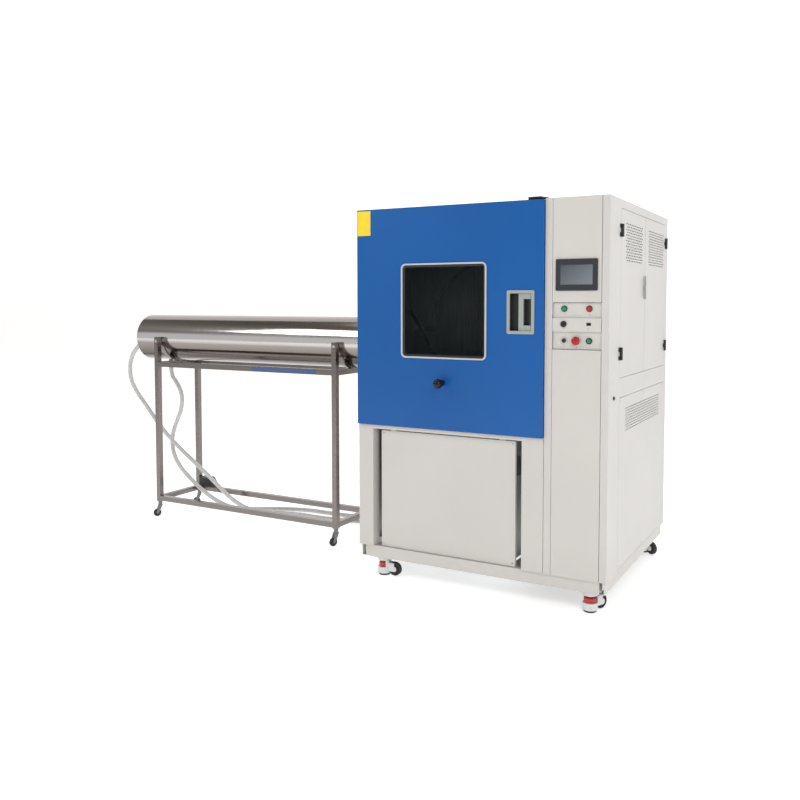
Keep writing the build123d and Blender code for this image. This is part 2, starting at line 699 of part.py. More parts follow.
def operator_screen():
    """Bezel with its housing through the cut-out, and the glass let into it."""
    x, z = around(SCREEN_X, SCREEN_WIDTH), around(SCREEN_Z, SCREEN_HEIGHT)
    bezel = backward(-SCREEN_BEZEL, rect(x, z, SCREEN_CORNER), SCREEN_BEZEL)
    front_edges = bezel.edges().group_by(Axis.Y)[0]
    bezel = chamfer(front_edges, 1.5)
    fit = SCREEN_MARGIN + RUNNING_GAP
    housing = backward(0, rect(grow(x, -fit), grow(z, -fit)), SCREEN_BODY)
    glass_x, glass_z = around(SCREEN_X, GLASS_WIDTH), around(SCREEN_Z, GLASS_HEIGHT)
    seat = block(glass_x, (-SCREEN_BEZEL - 1, -SCREEN_BEZEL + GLASS_SINK + 3), glass_z)
    glass = block(glass_x, (-SCREEN_BEZEL + GLASS_SINK, -SCREEN_BEZEL + GLASS_SINK + 3), glass_z)
    return [(bezel + housing) - seat, glass]


# Moving controls
def push_button(name, travel):
    """A flat cap on a stem that slides in its collar."""
    x, z, face = fitting_places()[name]
    front = face - FITTING_RING_THICK - CAP_PROUD
    shoulder = face + 4 - 1.0
    profile = [(0, front), (CAP_RADIUS - 1.5, front), (CAP_RADIUS, front + 1.5), (CAP_RADIUS, shoulder),
               (STEM_RADIUS, shoulder), (STEM_RADIUS, face + FITTING_BODY - travel - 2),
               (0, face + FITTING_BODY - travel - 2)]
    return turned("Y", (x, z), profile)


def stop_button():
    """Mushroom head on a stem."""
    x, z, face = fitting_places()["stop"]
    back = face - FITTING_RING_THICK - STOP_TRAVEL - 1.0
    front = back - MUSHROOM_HEIGHT
    profile = [(0, front), (MUSHROOM_RADIUS * 0.6, front + 0.8), (MUSHROOM_RADIUS * 0.88, front + 3.2),
               (MUSHROOM_RADIUS, front + 6.5), (MUSHROOM_RADIUS, back - 3), (MUSHROOM_RADIUS - 3, back),
               (CAP_RADIUS, back), (CAP_RADIUS, face + 2.0), (STEM_RADIUS, face + 2.0),
               (STEM_RADIUS, face + FITTING_BODY - STOP_TRAVEL - 2), (0, face + FITTING_BODY - STOP_TRAVEL - 2)]
    return turned("Y", (x, z), profile)


def key_switch():
    """Barrel of the lighting switch with a finger bar across its face."""
    x, z, face = fitting_places()["key"]
    front = face - FITTING_RING_THICK - 1.5
    barrel = rod("Y", (x, z), KEY_RADIUS, (front, face + FITTING_BODY - 4))
    grip = block(around(x, 4.0), (front - 4.5, front + 1), around(z, 2 * KEY_RADIUS - 2.5))
    return barrel + grip


# Door
def door_shell():
    """Painted outer shell, folded back on four edges, and its hinge leaves."""
    x, z = (DOOR_LEFT, DOOR_RIGHT), (DOOR_BOTTOM, DOOR_TOP)
    window = rect(around(WINDOW_X, PANE_SIZE), around(WINDOW_Z, PANE_SIZE), WINDOW_CORNER - WINDOW_RIM)
    cup = rect(around(HANDLE_X, HANDLE_WIDTH - HANDLE_RIM), around(HANDLE_Z, HANDLE_HEIGHT - HANDLE_RIM))
    outer = backward(DOOR_FRONT, rect(x, z, BEND) - window - cup, DOOR_THICK - DOOR_SHEET)
    hollow = rect(grow(x, -DOOR_SHEET), grow(z, -DOOR_SHEET), BEND - DOOR_SHEET)
    shell = outer - backward(DOOR_FRONT + DOOR_SHEET, hollow, DOOR_THICK)
    shell = shell - rod("Y", (WIPER_X, WIPER_Z), COLLAR_RADIUS - 4, (DOOR_FRONT - 1, DOOR_FRONT + 4))
    latch_z = around(HANDLE_Z, LATCH_WIDTH + 2 * RUNNING_GAP)
    shell = shell - block((DOOR_RIGHT - 4, DOOR_RIGHT + 1), grow(latch_depth(), RUNNING_GAP), latch_z)
    leaves = []
    for low in DOOR_HINGE_Z:
        leaves.append(door_hinge_leaf(low))
    return [shell] + leaves


def latch_depth():
    """Y range of the latch tongue inside the door."""
    low = DOOR_FRONT + HANDLE_CUP_DEPTH + 8.0
    return low, low + LATCH_THICK


def hinge_axis():
    """X and Y of the door's hinge line."""
    return -DOOR_HINGE_OUT, DOOR_BACK


def hinge_thirds(low, height):
    """Lower, middle and upper ranges of a three-knuckle hinge."""
    third = height / 3
    return ((low, low + third - KNUCKLE_GAP), (low + third, low + 2 * third),
            (low + 2 * third + KNUCKLE_GAP, low + height))


def door_hinge_leaf(low):
    """Middle knuckle with its leaf on the left edge of the door."""
    x, y = hinge_axis()
    middle = hinge_thirds(low, DOOR_HINGE_HEIGHT)[1]
    leaf = block((DOOR_LEFT - HINGE_LEAF, DOOR_LEFT), (y - HINGE_LEAF_WIDTH - HINGE_KNUCKLE, y - 4), middle)
    web = block((x, DOOR_LEFT - HINGE_LEAF + 1), (y - HINGE_KNUCKLE, y - HINGE_KNUCKLE + HINGE_LEAF + 1), middle)
    return hinge_sleeve(x, y, middle, leaf + web)


def side_hinge_y(front):
    """Y of a side door's hinge line."""
    return SIDE_X[0] - SIDE_EDGE_GAP / 2 if front else SIDE_X[1] + SIDE_EDGE_GAP / 2


def side_hinge_leaf(low, front):
    """Middle knuckle with its leaf on the outside of a side door."""
    x, y = CABINET_WIDTH + SIDE_HINGE_OUT, side_hinge_y(front)
    middle = hinge_thirds(low, SIDE_HINGE_HEIGHT)[1]
    span = (y, y + HINGE_LEAF_WIDTH) if front else (y - HINGE_LEAF_WIDTH, y)
    leaf = block((CABINET_WIDTH, CABINET_WIDTH + HINGE_LEAF), span, middle)
    return side_sleeve(x, y, middle, leaf)


def side_sleeve(x, y, z, leaf):
    """Small knuckle of a side hinge with its pin hole."""
    barrel = rod("Z", (x, y), SIDE_HINGE_OUT, z)
    return (barrel + leaf) - rod("Z", (x, y), HINGE_PIN + PIN_CLEARANCE, grow(z, 1))


def hinge_brackets():
    """Fixed hinge leaves with their pins, on the left wall and on the right wall."""
    pieces = []
    x, y = hinge_axis()
    for low in DOOR_HINGE_Z:
        lower, middle, upper = hinge_thirds(low, DOOR_HINGE_HEIGHT)
        plate = block((-HINGE_LEAF, 0), (FLANGE_Y + 1, FLANGE_Y + HINGE_LEAF_WIDTH + HINGE_KNUCKLE), (low, upper[1]))
        body = plate + rod("Z", (x, y), HINGE_PIN, (low, upper[1]))
        for z in (lower, upper):
            web = block((x, -HINGE_LEAF + 1), (y + HINGE_KNUCKLE - HINGE_LEAF, FLANGE_Y + HINGE_KNUCKLE), z)
            body = body + rod("Z", (x, y), HINGE_KNUCKLE, z) + web
        pieces.append(body)
    for front in (True, False):
        x, y = CABINET_WIDTH + SIDE_HINGE_OUT, side_hinge_y(front)
        for low in SIDE_HINGE_Z:
            lower, middle, upper = hinge_thirds(low, SIDE_HINGE_HEIGHT)
            edge = y - 1 if front else y + 1
            span = (edge - HINGE_LEAF_WIDTH, edge) if front else (edge, edge + HINGE_LEAF_WIDTH)
            body = rod("Z", (x, y), HINGE_PIN, (low, upper[1]))
            for z in (lower, upper):
                leaf = block((CABINET_WIDTH, CABINET_WIDTH + HINGE_LEAF), span, z)
                body = body + rod("Z", (x, y), SIDE_HINGE_OUT, z) + leaf
            pieces.append(body)
    return pieces


def door_liner():
    """Stainless inner panel with the window tunnel that joins both skins."""
    x, z = grow((DOOR_LEFT, DOOR_RIGHT), -DOOR_SHEET), grow((DOOR_BOTTOM, DOOR_TOP), -DOOR_SHEET)
    opening = rect(around(WINDOW_X, PANE_SIZE), around(WINDOW_Z, PANE_SIZE), WINDOW_CORNER - WINDOW_RIM)
    panel = backward(DOOR_BACK - DOOR_SHEET, rect(x, z) - opening, DOOR_SHEET)
    return [panel - rod("Y", (WIPER_X, WIPER_Z), COLLAR_RADIUS - 4, (DOOR_BACK - 5, DOOR_BACK + 1))]


def door_gasket():
    """Seal round the inner face of the door."""
    margin = (FLANGE_WIDTH - GASKET_WIDTH) / 2
    x, z = grow((DOOR_LEFT, DOOR_RIGHT), -margin), grow((DOOR_BOTTOM, DOOR_TOP), -margin)
    ring = rect(x, z, 12.0) - rect(grow(x, -GASKET_WIDTH), grow(z, -GASKET_WIDTH), 4.0)
    return [backward(DOOR_BACK, ring, GASKET_THICK)]


def window_trim():
    """Rim on the door's face and the tunnel that holds both panes apart."""
    x, z = around(WINDOW_X, WINDOW_SIZE), around(WINDOW_Z, WINDOW_SIZE)
    inner = rect(grow(x, -WINDOW_RIM), grow(z, -WINDOW_RIM), WINDOW_CORNER - WINDOW_RIM)
    rim = backward(DOOR_FRONT - WINDOW_RIM_PROUD, rect(x, z, WINDOW_CORNER) - inner, WINDOW_RIM_PROUD)
    tunnel_x, tunnel_z = around(WINDOW_X, PANE_SIZE - RUNNING_GAP), around(WINDOW_Z, PANE_SIZE - RUNNING_GAP)
    corner = WINDOW_CORNER - WINDOW_RIM
    back = PANE_FRONT + PANE_THICK
    tunnel = rect(tunnel_x, tunnel_z, corner)
    tunnel = tunnel - rect(grow(tunnel_x, -WINDOW_BAND), grow(tunnel_z, -WINDOW_BAND), corner / 2)
    return [rim, backward(back, tunnel, PANE_GAP)]


def window_panes():
    """Outer and inner pane of the double glazing."""
    x, z = around(WINDOW_X, PANE_SIZE - RUNNING_GAP), around(WINDOW_Z, PANE_SIZE - RUNNING_GAP)
    face = rect(x, z, WINDOW_CORNER - WINDOW_RIM)
    second = PANE_FRONT + PANE_THICK + PANE_GAP
    return [backward(PANE_FRONT, face, PANE_THICK), backward(second, face, PANE_THICK)]


def grip_pin():
    """X and Y of the handle grip's hinge line."""
    right = HANDLE_X + HANDLE_WIDTH / 2 - HANDLE_RIM
    return right - 8.0, DOOR_FRONT + GRIP_THICK / 2 + 2.0


def handle_bezel():
    """Frame and cup of the recessed handle, with the pin that carries the grip."""
    x, z = around(HANDLE_X, HANDLE_WIDTH), around(HANDLE_Z, HANDLE_HEIGHT)
    frame = backward(DOOR_FRONT - HANDLE_PROUD, rect(x, z, HANDLE_CORNER), HANDLE_PROUD)
    cup_x, cup_z = grow(x, -HANDLE_RIM + HANDLE_WALL), grow(z, -HANDLE_RIM + HANDLE_WALL)
    cup = backward(DOOR_FRONT, rect(cup_x, cup_z), HANDLE_CUP_DEPTH)
    hollow = rect(grow(x, -HANDLE_RIM), grow(z, -HANDLE_RIM), 3.0)
    body = (frame + cup) - backward(DOOR_FRONT - HANDLE_PROUD - 1, hollow, HANDLE_PROUD + HANDLE_CUP_DEPTH - 1)
    pin_x, pin_y = grip_pin()
    return [body + rod("Z", (pin_x, pin_y), GRIP_PIN_RADIUS, grow(z, -HANDLE_RIM + 0.5))]


def handle_grip():
    """C-shaped pull: an upright bar with an arm at each end, hung on the pin."""
    pin_x, pin_y = grip_pin()
    z = grow(around(HANDLE_Z, HANDLE_HEIGHT), -HANDLE_RIM - RUNNING_GAP)
    left = pin_x - GRIP_REACH
    y = around(pin_y, GRIP_THICK)
    outline = rect((left, pin_x), z, 4.0)
    outline = outline - rect((left + GRIP_BAR, pin_x + 1), grow(z, -GRIP_ARM), 0)
    body = backward(y[0], outline, GRIP_THICK)
    eye = rod("Z", (pin_x, pin_y), GRIP_THICK / 2, z) - block(
        (pin_x - 20, pin_x + 20), (pin_y - 20, pin_y + 20), grow(z, -GRIP_ARM))
    bore = rod("Z", (pin_x, pin_y), GRIP_PIN_RADIUS + PIN_CLEARANCE, grow(z, 1))
    return (body + eye) - bore


def latch_tongue():
    """Spring latch that leaves the door's right edge."""
    y = latch_depth()
    z = around(HANDLE_Z, LATCH_WIDTH)
    tip = DOOR_RIGHT + LATCH_PROUD
    root = tip - LATCH_LENGTH
    outline = Polyline((root, y[0]), (tip, y[0]), (tip - 6.0, y[1]), (root, y[1]), close=True)
    return extrude(plan(z[0]) * make_face(outline), amount=LATCH_WIDTH)


def window_wiper():
    """Ball knob, collar and shaft through the door, with the arm and blade behind the window."""
    knob_y = DOOR_FRONT - KNOB_STAND
    knob = Pos(WIPER_X, knob_y, WIPER_Z) * Sphere(KNOB_RADIUS)
    inside = DOOR_BACK + 6.0
    shaft = rod("Y", (WIPER_X, WIPER_Z), WIPER_SHAFT_RADIUS, (knob_y, inside + 8))
    collar = rod("Y", (WIPER_X, WIPER_Z), COLLAR_RADIUS, (DOOR_FRONT - 14, DOOR_FRONT - WIPER_GAP))
    arm_y = (inside, inside + 6)
    blade_y = (DOOR_BACK + WIPER_GAP / 2, inside + 6)
    arm = block(around(WIPER_X, 16), arm_y, (WIPER_Z - 12, WIPER_Z + WIPER_ARM_LENGTH))
    blade_top = WIPER_Z + WIPER_ARM_LENGTH
    blade = block(around(WIPER_X, 8), blade_y, (blade_top - WIPER_BLADE_LENGTH, blade_top))
    lean = Pos(WIPER_X, 0, WIPER_Z) * Rot(0, -WIPER_REST, 0) * Pos(-WIPER_X, 0, -WIPER_Z)
    return knob + shaft + collar + lean * (arm + blade)


# Test space
def chamber_liner():
    """Stainless box open to the front, with the flange that the gasket meets."""
    x, z = CHAMBER_X, CHAMBER_Z
    back = FLANGE_Y + CHAMBER_DEPTH
    outer = backward(FLANGE_Y, rect(grow(x, LINER), grow(z, LINER)), CHAMBER_DEPTH)
    flange = backward(FLANGE_Y, rect((DOOR_LEFT, COLUMN_LEFT), (DOOR_BOTTOM, WALL_TOP)), LINER)
    box = outer + flange - backward(FLANGE_Y - 1, rect(x, z), CHAMBER_DEPTH + 1 - LINER)
    box = box - rod("X", (ARCH_Y, ARCH_Z), ARCH_JOURNAL + 3, (x[0] - 5, x[0] + 1))
    box = box - rod("X", (ARCH_Y, ARCH_Z), ARCH_JOURNAL + 3, (x[1] - 1, x[1] + 5))
    middle = (x[0] + x[1]) / 2
    for y, radius in ((ARCH_Y, SPINDLE_RADIUS + 3), (DRAIN_Y, DRAIN_RADIUS)):
        box = box - rod("Z", (middle, y), radius, (z[0] - 5, z[0] + 1))
    return [box]


def chamber_middle():
    """X of the middle of the test space."""
    return (CHAMBER_X[0] + CHAMBER_X[1]) / 2


def chamber_fittings():
    """Arch bearings, turntable pedestal, drain pipe and the lamp in the ceiling."""
    pieces = []
    for x in ((CHAMBER_X[0], CHAMBER_X[0] + BEARING_THICK), (CHAMBER_X[1] - BEARING_THICK, CHAMBER_X[1])):
        bearing = rod("X", (ARCH_Y, ARCH_Z), BEARING_RADIUS, x)
        pieces.append(bearing - rod("X", (ARCH_Y, ARCH_Z), ARCH_JOURNAL + PIN_CLEARANCE, grow(x, 1)))
    middle = chamber_middle()
    floor = CHAMBER_Z[0]
    top = TURNTABLE_Z - TURNTABLE_HUB / 2 - 1
    bore = SPINDLE_RADIUS + PIN_CLEARANCE
    pedestal = [(bore, floor), (PEDESTAL_RADIUS + 25, floor), (PEDESTAL_RADIUS + 25, floor + 8),
                (PEDESTAL_RADIUS, floor + 14), (PEDESTAL_RADIUS - 8, top), (bore, top)]
    pieces.append(turned("Z", (middle, ARCH_Y), pedestal))
    lid = BODY_Z + RESERVOIR_HEIGHT
    pipe = rod("Z", (middle, DRAIN_Y), DRAIN_RADIUS - RUNNING_GAP, (lid, floor + 1))
    pieces.append(pipe - rod("Z", (middle, DRAIN_Y), DRAIN_RADIUS - 3, (lid - 1, floor + 2)))
    lamp_top = CHAMBER_Z[1]
    lamp = [(0, lamp_top), (LAMP_RADIUS, lamp_top), (LAMP_RADIUS, lamp_top - 14),
            (LAMP_RADIUS * 0.8, lamp_top - LAMP_DEPTH + 6), (0, lamp_top - LAMP_DEPTH)]
    pieces.append(turned("Z", (middle, ARCH_Y + 250), lamp))
    return pieces


def spray_arch():
    """Half-round spray pipe with its nozzles, hubs and journals."""
    middle = chamber_middle()
    path = Plane(origin=(middle, ARCH_Y, ARCH_Z), x_dir=(1, 0, 0), z_dir=(0, -1, 0)) * \
        CenterArc((0, 0), ARCH_RADIUS, 0, 180)
    start = Plane(origin=(middle + ARCH_RADIUS, ARCH_Y, ARCH_Z), z_dir=(0, 0, 1))
    body = sweep(start * Circle(ARCH_TUBE), path=path)
    for side in (-1, 1):
        inner = middle + side * (ARCH_RADIUS - ARCH_HUB_END)
        wall = CHAMBER_X[0] if side < 0 else CHAMBER_X[1]
        face = wall - side * (BEARING_THICK + 1)
        hub = rod("X", (ARCH_Y, ARCH_Z), ARCH_HUB, tuple(sorted((inner, face))))
        journal = rod("X", (ARCH_Y, ARCH_Z), ARCH_JOURNAL, tuple(sorted((face, wall + side * 12))))
        body = body + hub + journal
    step = 160.0 / (NOZZLE_COUNT - 1)
    for number in range(NOZZLE_COUNT):
        angle = math.radians(10.0 + number * step)
        reach = ARCH_RADIUS - ARCH_TUBE - NOZZLE_LENGTH / 2
        place = Pos(middle + reach * math.cos(angle), ARCH_Y, ARCH_Z + reach * math.sin(angle))
        turn = Rot(0, 90 - math.degrees(angle), 0)
        prism = extrude(Plane.XY * RegularPolygon(NOZZLE_RADIUS, 6), amount=NOZZLE_LENGTH + 4)
        body = body + place * turn * Pos(0, 0, -NOZZLE_LENGTH / 2) * prism
    return body


def turntable():
    """Round table with fixing holes, hub and spindle."""
    middle = chamber_middle()
    top = TURNTABLE_Z + TURNTABLE_THICK
    low = TURNTABLE_Z - TURNTABLE_HUB / 2
    spindle_end = CHAMBER_Z[0] - 40
    profile = [(0, top), (TURNTABLE_RADIUS, top), (TURNTABLE_RADIUS, top - TURNTABLE_RIM),
               (TURNTABLE_RADIUS - 3, top - TURNTABLE_RIM), (TURNTABLE_RADIUS - 3, TURNTABLE_Z),
               (TURNTABLE_HUB, TURNTABLE_Z), (TURNTABLE_HUB - 6, low), (SPINDLE_RADIUS, low),
               (SPINDLE_RADIUS, spindle_end), (0, spindle_end)]
    body = turned("Z", (middle, ARCH_Y), profile)
    for number in range(4):
        angle = math.radians(45 + 90 * number)
        spot = (middle + FIXTURE_PCD / 2 * math.cos(angle), ARCH_Y + FIXTURE_PCD / 2 * math.sin(angle))
        body = body - rod("Z", spot, FIXTURE_HOLE, (TURNTABLE_Z - 1, top + 1))
    return body


# Machine space
def water_reservoir():
    """Covered tank under the test space."""
    x, y = RESERVOIR_X, RESERVOIR_Y
    top = BODY_Z + RESERVOIR_HEIGHT
    box = upward(BODY_Z, rect(x, y, 20.0), RESERVOIR_HEIGHT - RESERVOIR_LID)
    inner = rect(grow(x, -RESERVOIR_WALL), grow(y, -RESERVOIR_WALL), 15.0)
    box = box - upward(BODY_Z + RESERVOIR_WALL, inner, RESERVOIR_HEIGHT)
    lid = upward(top - RESERVOIR_LID, rect(x, y, 20.0), RESERVOIR_LID)
    return [box, lid - rod("Z", (chamber_middle(), DRAIN_Y), DRAIN_RADIUS - 3, (top - 20, top + 1))]


def pump_y():
    """Y of the pump's centre line, between the two hose ports."""
    return (PORT_Y[0] + PORT_Y[1]) / 2


def pump_and_drives():
    """Pump with its motor and hose ports, and the gear motors of the arch and the turntable."""
    y = pump_y()
    shaft_z = BODY_Z + 12 + PUMP_RADIUS
    bed = block((PUMP_X - 120, CROSS_RAIL_X[1]), around(y, 2 * PUMP_RADIUS + 20), (BODY_Z, BODY_Z + 12))
    pump = [(0, PUMP_X - 90), (PUMP_RADIUS - 15, PUMP_X - 90), (PUMP_RADIUS, PUMP_X - 75), (PUMP_RADIUS, PUMP_X),
            (50, PUMP_X + 10), (50, PUMP_X + 60), (MOTOR_RADIUS, PUMP_X + 60), (MOTOR_RADIUS, PUMP_X + 300),
            (MOTOR_RADIUS - 14, PUMP_X + 330), (0, PUMP_X + 330)]
    body = turned("X", (y, shaft_z), pump)
    feet = block((PUMP_X + 90, PUMP_X + 270), around(y, 120), (BODY_Z + 12, shaft_z - 20))
    pieces = [bed, body + feet]
    for port_y in PORT_Y:
        run = rod("X", (port_y, PORT_Z), PORT_RADIUS, (-PORT_STAND, 40))
        elbow = Pos(-PORT_STAND, port_y, PORT_Z) * Sphere(PORT_RADIUS)
        drop = rod("Z", (-PORT_STAND, port_y), PORT_RADIUS, (PORT_Z - PORT_DROP, PORT_Z))
        nut = rod("X", (port_y, PORT_Z), PORT_RADIUS + 8, (-10, 0))
        pieces.append(run + elbow + drop + nut)
    manifold = block((40, 76), (PORT_Y[0] - 40, PORT_Y[1] + 40), (BODY_Z, PORT_Z + 30))
    pieces.append(manifold)
    arch_x = CHAMBER_X[1] + LINER
    arch_motor = [(ARCH_JOURNAL + 4, arch_x), (60, arch_x), (60, arch_x + 50), (42, arch_x + 50),
                  (42, BOARD_X), (0, BOARD_X), (0, arch_x + 14), (ARCH_JOURNAL + 4, arch_x + 14)]
    pieces.append(turned("X", (ARCH_Y, ARCH_Z), arch_motor))
    table_z = CHAMBER_Z[0] - LINER
    bore = SPINDLE_RADIUS + PIN_CLEARANCE
    table_motor = [(bore, table_z), (70, table_z), (70, table_z - 60), (50, table_z - 60), (50, table_z - 200),
                   (0, table_z - 200), (0, table_z - 50), (bore, table_z - 50)]
    pieces.append(turned("Z", (chamber_middle(), ARCH_Y), table_motor))
    return pieces


def electrical_board():
    """Mounting wall of the machine space with ducts, rails, contactors and drives."""
    y = (STRIP_RETURN + 20, CABINET_DEPTH - TRAY_DEPTH)
    wall = block((BOARD_X, BOARD_X + BOARD_SHEET), y, (BODY_Z, WALL_TOP))
    pieces = [wall]
    face = BOARD_X + BOARD_SHEET
    low, high = SIDE_X[0] + 60, SIDE_X[1] - 60
    duct_z = (1150.0, 1380.0, 1610.0, 1830.0)
    for z in duct_z:
        pieces.append(block((face, face + 60), (low, high), around(z, 40)))
    rows = ((45.0, 17, 1265.0, 82.0), (54.0, 13, 1495.0, 70.0), (90.0, 8, 1720.0, 96.0))
    for pitch, count, z, tall in rows:
        rail = block((face, face + 8), (low, high), around(z, 35))
        devices = rail
        start = (low + high - pitch * count) / 2
        for number in range(count):
            middle = start + (number + 0.5) * pitch
            if number % 4 != 3:
                devices = devices + block((face + 7, face + 70), around(middle, pitch - 3), around(z, tall))
        pieces.append(devices)
    return pieces


def rear_connections():
    """Water inlet and drain held by a nut on the lower rear cover, and the cable gland."""
    pieces = []
    inner = CABINET_DEPTH - SHEET
    for x, z, radius, length in ((INLET_X, INLET_Z, INLET_RADIUS, INLET_LENGTH),
                                 (DRAIN_PORT_X, DRAIN_PORT_Z, DRAIN_PORT_RADIUS, DRAIN_PORT_LENGTH)):
        stub = rod("Y", (x, z), radius, (inner - 30, CABINET_DEPTH + length))
        flange = rod("Y", (x, z), radius + 9, (inner - 5, inner))
        hexagon = Pos(x, z) * RegularPolygon(radius + PORT_NUT_RIM, 6)
        nut = backward(CABINET_DEPTH, hexagon, PORT_NUT)
        bore = rod("Y", (x, z), radius - 3, (inner - 31, CABINET_DEPTH + length + 1))
        pieces.append((stub + flange + nut) - bore)
    gland = rod("Y", (GLAND_X, GLAND_Z), INLET_RADIUS, (inner - 15, CABINET_DEPTH + 6))
    nut = extrude(front_plane(CABINET_DEPTH) * (Pos(GLAND_X, GLAND_Z) * RegularPolygon(16, 6)), amount=-14)
    lock = rod("Y", (GLAND_X, GLAND_Z), 16, (inner - 5, inner))
    pieces.append((gland + nut + lock) - rod("Y", (GLAND_X, GLAND_Z), 6.5, (inner - 20, CABINET_DEPTH + 20)))
    return pieces


def door_switch():
    """Switch on the roof with a nose over the top edge of the door."""
    x = ROOF_SWITCH_X
    low = CABINET_TOP
    y0 = FLANGE_Y + 2
    body = block(x, (y0, y0 + ROOF_SWITCH_DEPTH), (low, low + ROOF_SWITCH_HEIGHT))
    nose = block((x[0] + 12, x[1] - 12), (y0 - ROOF_SWITCH_NOSE, y0), (low + ROOF_SWITCH_BASE, low + ROOF_SWITCH_HEIGHT))
    return [body + nose]


# Side doors
def side_door(front):
    """One leaf of the double door with its vent and hinge knuckles."""
    middle = (SIDE_X[0] + SIDE_X[1]) / 2
    y = (SIDE_X[0], middle - SIDE_DOOR_GAP / 2) if front else (middle + SIDE_DOOR_GAP / 2, SIDE_X[1])
    width = (DOOR_VENT_COLUMNS - 1) * VENT_PITCH_Y + VENT_SLOT
    free = y[1] - y[0] - width
    left = y[0] + free * 0.55 if front else y[0] + free * 0.25
    slots = slot_grid(left, DOOR_VENT_TOP, DOOR_VENT_COLUMNS, DOOR_VENT_ROWS, VENT_PITCH_Y, DOOR_VENT_PITCH_Z)
    door = side_tray(CABINET_WIDTH, y, SIDE_DOOR_Z, -TRAY_DEPTH, SHEET, slots)
    if front:
        spot = (side_handle_y(), SIDE_HANDLE_Z)
        door = door - rod("X", spot, SIDE_HANDLE_SPINDLE + PIN_CLEARANCE, (CABINET_WIDTH - 3, CABINET_WIDTH + 1))
    return [door] + [side_hinge_leaf(low, front) for low in SIDE_HINGE_Z]


def side_handle_y():
    """Y of the handle's spindle on the front leaf."""
    return (SIDE_X[0] + SIDE_X[1]) / 2 - SIDE_HANDLE_FROM_SEAM


def side_door_handle():
    """Turning handle: grip, spindle and the cam behind the door."""
    y, z = side_handle_y(), SIDE_HANDLE_Z
    face = CABINET_WIDTH + 1.0
    out = CABINET_WIDTH + SIDE_HANDLE_PROUD
    top = z + SIDE_HANDLE_LENGTH / 2
    low = z - SIDE_HANDLE_LENGTH / 2
    grip = rightward(face + 4, rect(around(y, SIDE_HANDLE_WIDTH), (low, top), 6.0), out - face - 4)
    boss = rod("X", (y, z), 11, (face, face + 5))
    spindle = rod("X", (y, z), SIDE_HANDLE_SPINDLE, (CABINET_WIDTH - 12, face + 1))
    cam = block((CABINET_WIDTH - 12, CABINET_WIDTH - 8), around(y, 16), (z - 10, z + 15))
    return grip + boss + spindle + cam


def side_lock():
    """Key cylinder with its cam behind the right wall."""
    y, z = SIDE_LOCK_Y, SIDE_LOCK_Z
    profile = [(0, CABINET_WIDTH + 6), (SIDE_LOCK_RADIUS - 2, CABINET_WIDTH + 6), (SIDE_LOCK_RADIUS, CABINET_WIDTH + 4),
               (SIDE_LOCK_RADIUS, CABINET_WIDTH + 0.4), (SIDE_LOCK_RADIUS - 1, CABINET_WIDTH + 0.4),
               (SIDE_LOCK_RADIUS - 1, CABINET_WIDTH - 16), (0, CABINET_WIDTH - 16)]
    barrel = turned("X", (y, z), profile)
    return barrel + block((CABINET_WIDTH - 19, CABINET_WIDTH - 16), around(y, 14), (z - 8, z + 26))


# Casters of the cabinet
def caster_sides():
    """Turning direction of each caster: where its wheel lies from the foot."""
    return {
        "front_left": (CASTER_X[0], CASTER_Y[0], 0.0),
        "front_right": (CASTER_X[1], CASTER_Y[0], 62.0),
        "rear_left": (CASTER_X[0], CASTER_Y[1], 180.0),
        "rear_right": (CASTER_X[1], CASTER_Y[1], -35.0),
    }


def placed(shape, x, y, angle):
    """A shape drawn about the origin, turned about Z and put at x, y."""
    return Pos(x, y, 0) * Rot(0, 0, angle) * shape


def caster_housing():
    """Turning body of a levelling caster: head, cup round the foot, columns and fork."""
    head_top = BASE_Z - CASTER_PLATE_THICK - RUNNING_GAP
    outer, reach = CASTER_CUP_RADIUS, CASTER_WHEEL_OFFSET
    wheel_z = CASTER_WHEEL_RADIUS + CASTER_WHEEL_LIFT
    half = CASTER_WHEEL_WIDTH / 2 + CASTER_FORK_GAP
    arm = rect((outer * 0.5, reach), (wheel_z - 14, head_top)) + Pos(reach, wheel_z) * Circle(14)
    arm = arm - rect((outer * 0.9, reach + 20), (wheel_z + 32, head_top + 1))
    body = rod("Z", (0, 0), outer, (CASTER_CUP_Z, head_top))
    for y in (half, -half - CASTER_FORK_PLATE):
        body = body + backward(y, arm, CASTER_FORK_PLATE)
    window = (CASTER_CUP_TOP, CASTER_CUP_TOP + CASTER_WINDOW)
    body = body - rod("Z", (0, 0), outer - CASTER_CUP_WALL, (0, CASTER_CUP_TOP - 6))
    body = body - block((-outer - 1, outer * 0.62), (-outer - 1, outer + 1), window)
    body = body - rod("Z", (0, 0), FOOT_RING_RADIUS + 1, window)
    body = body - rod("Z", (0, 0), FOOT_STEM_RADIUS + PIN_CLEARANCE, (0, window[1] + 1))
    body = body - rod("Y", (reach, wheel_z), CASTER_WHEEL_RADIUS + 1.5, (-half, half))
    body = body + rod("Y", (reach, wheel_z), CASTER_AXLE, grow((-half, half), CASTER_FORK_PLATE))
    head = (head_top - CASTER_HEAD - 1, head_top + 1)
    return body - rod("Z", (0, 0), CASTER_KINGPIN + PIN_CLEARANCE, head)


def caster_wheel():
    """Tyre and hub with its axle bore."""
    wheel_z = CASTER_WHEEL_RADIUS + CASTER_WHEEL_LIFT
    half = CASTER_WHEEL_WIDTH / 2
    r, bore = CASTER_WHEEL_RADIUS, CASTER_AXLE + PIN_CLEARANCE
    profile = [(bore, -half), (r * 0.62, -half), (r * 0.62, -half + 3), (r * 0.8, -half + 3), (r * 0.8, -half),
               (r - 3, -half), (r, -half + 3), (r, half - 3), (r - 3, half), (r * 0.8, half), (r * 0.8, half - 3),
               (r * 0.62, half - 3), (r * 0.62, half), (bore, half)]
    return turned("Y", (CASTER_WHEEL_OFFSET, wheel_z), profile)


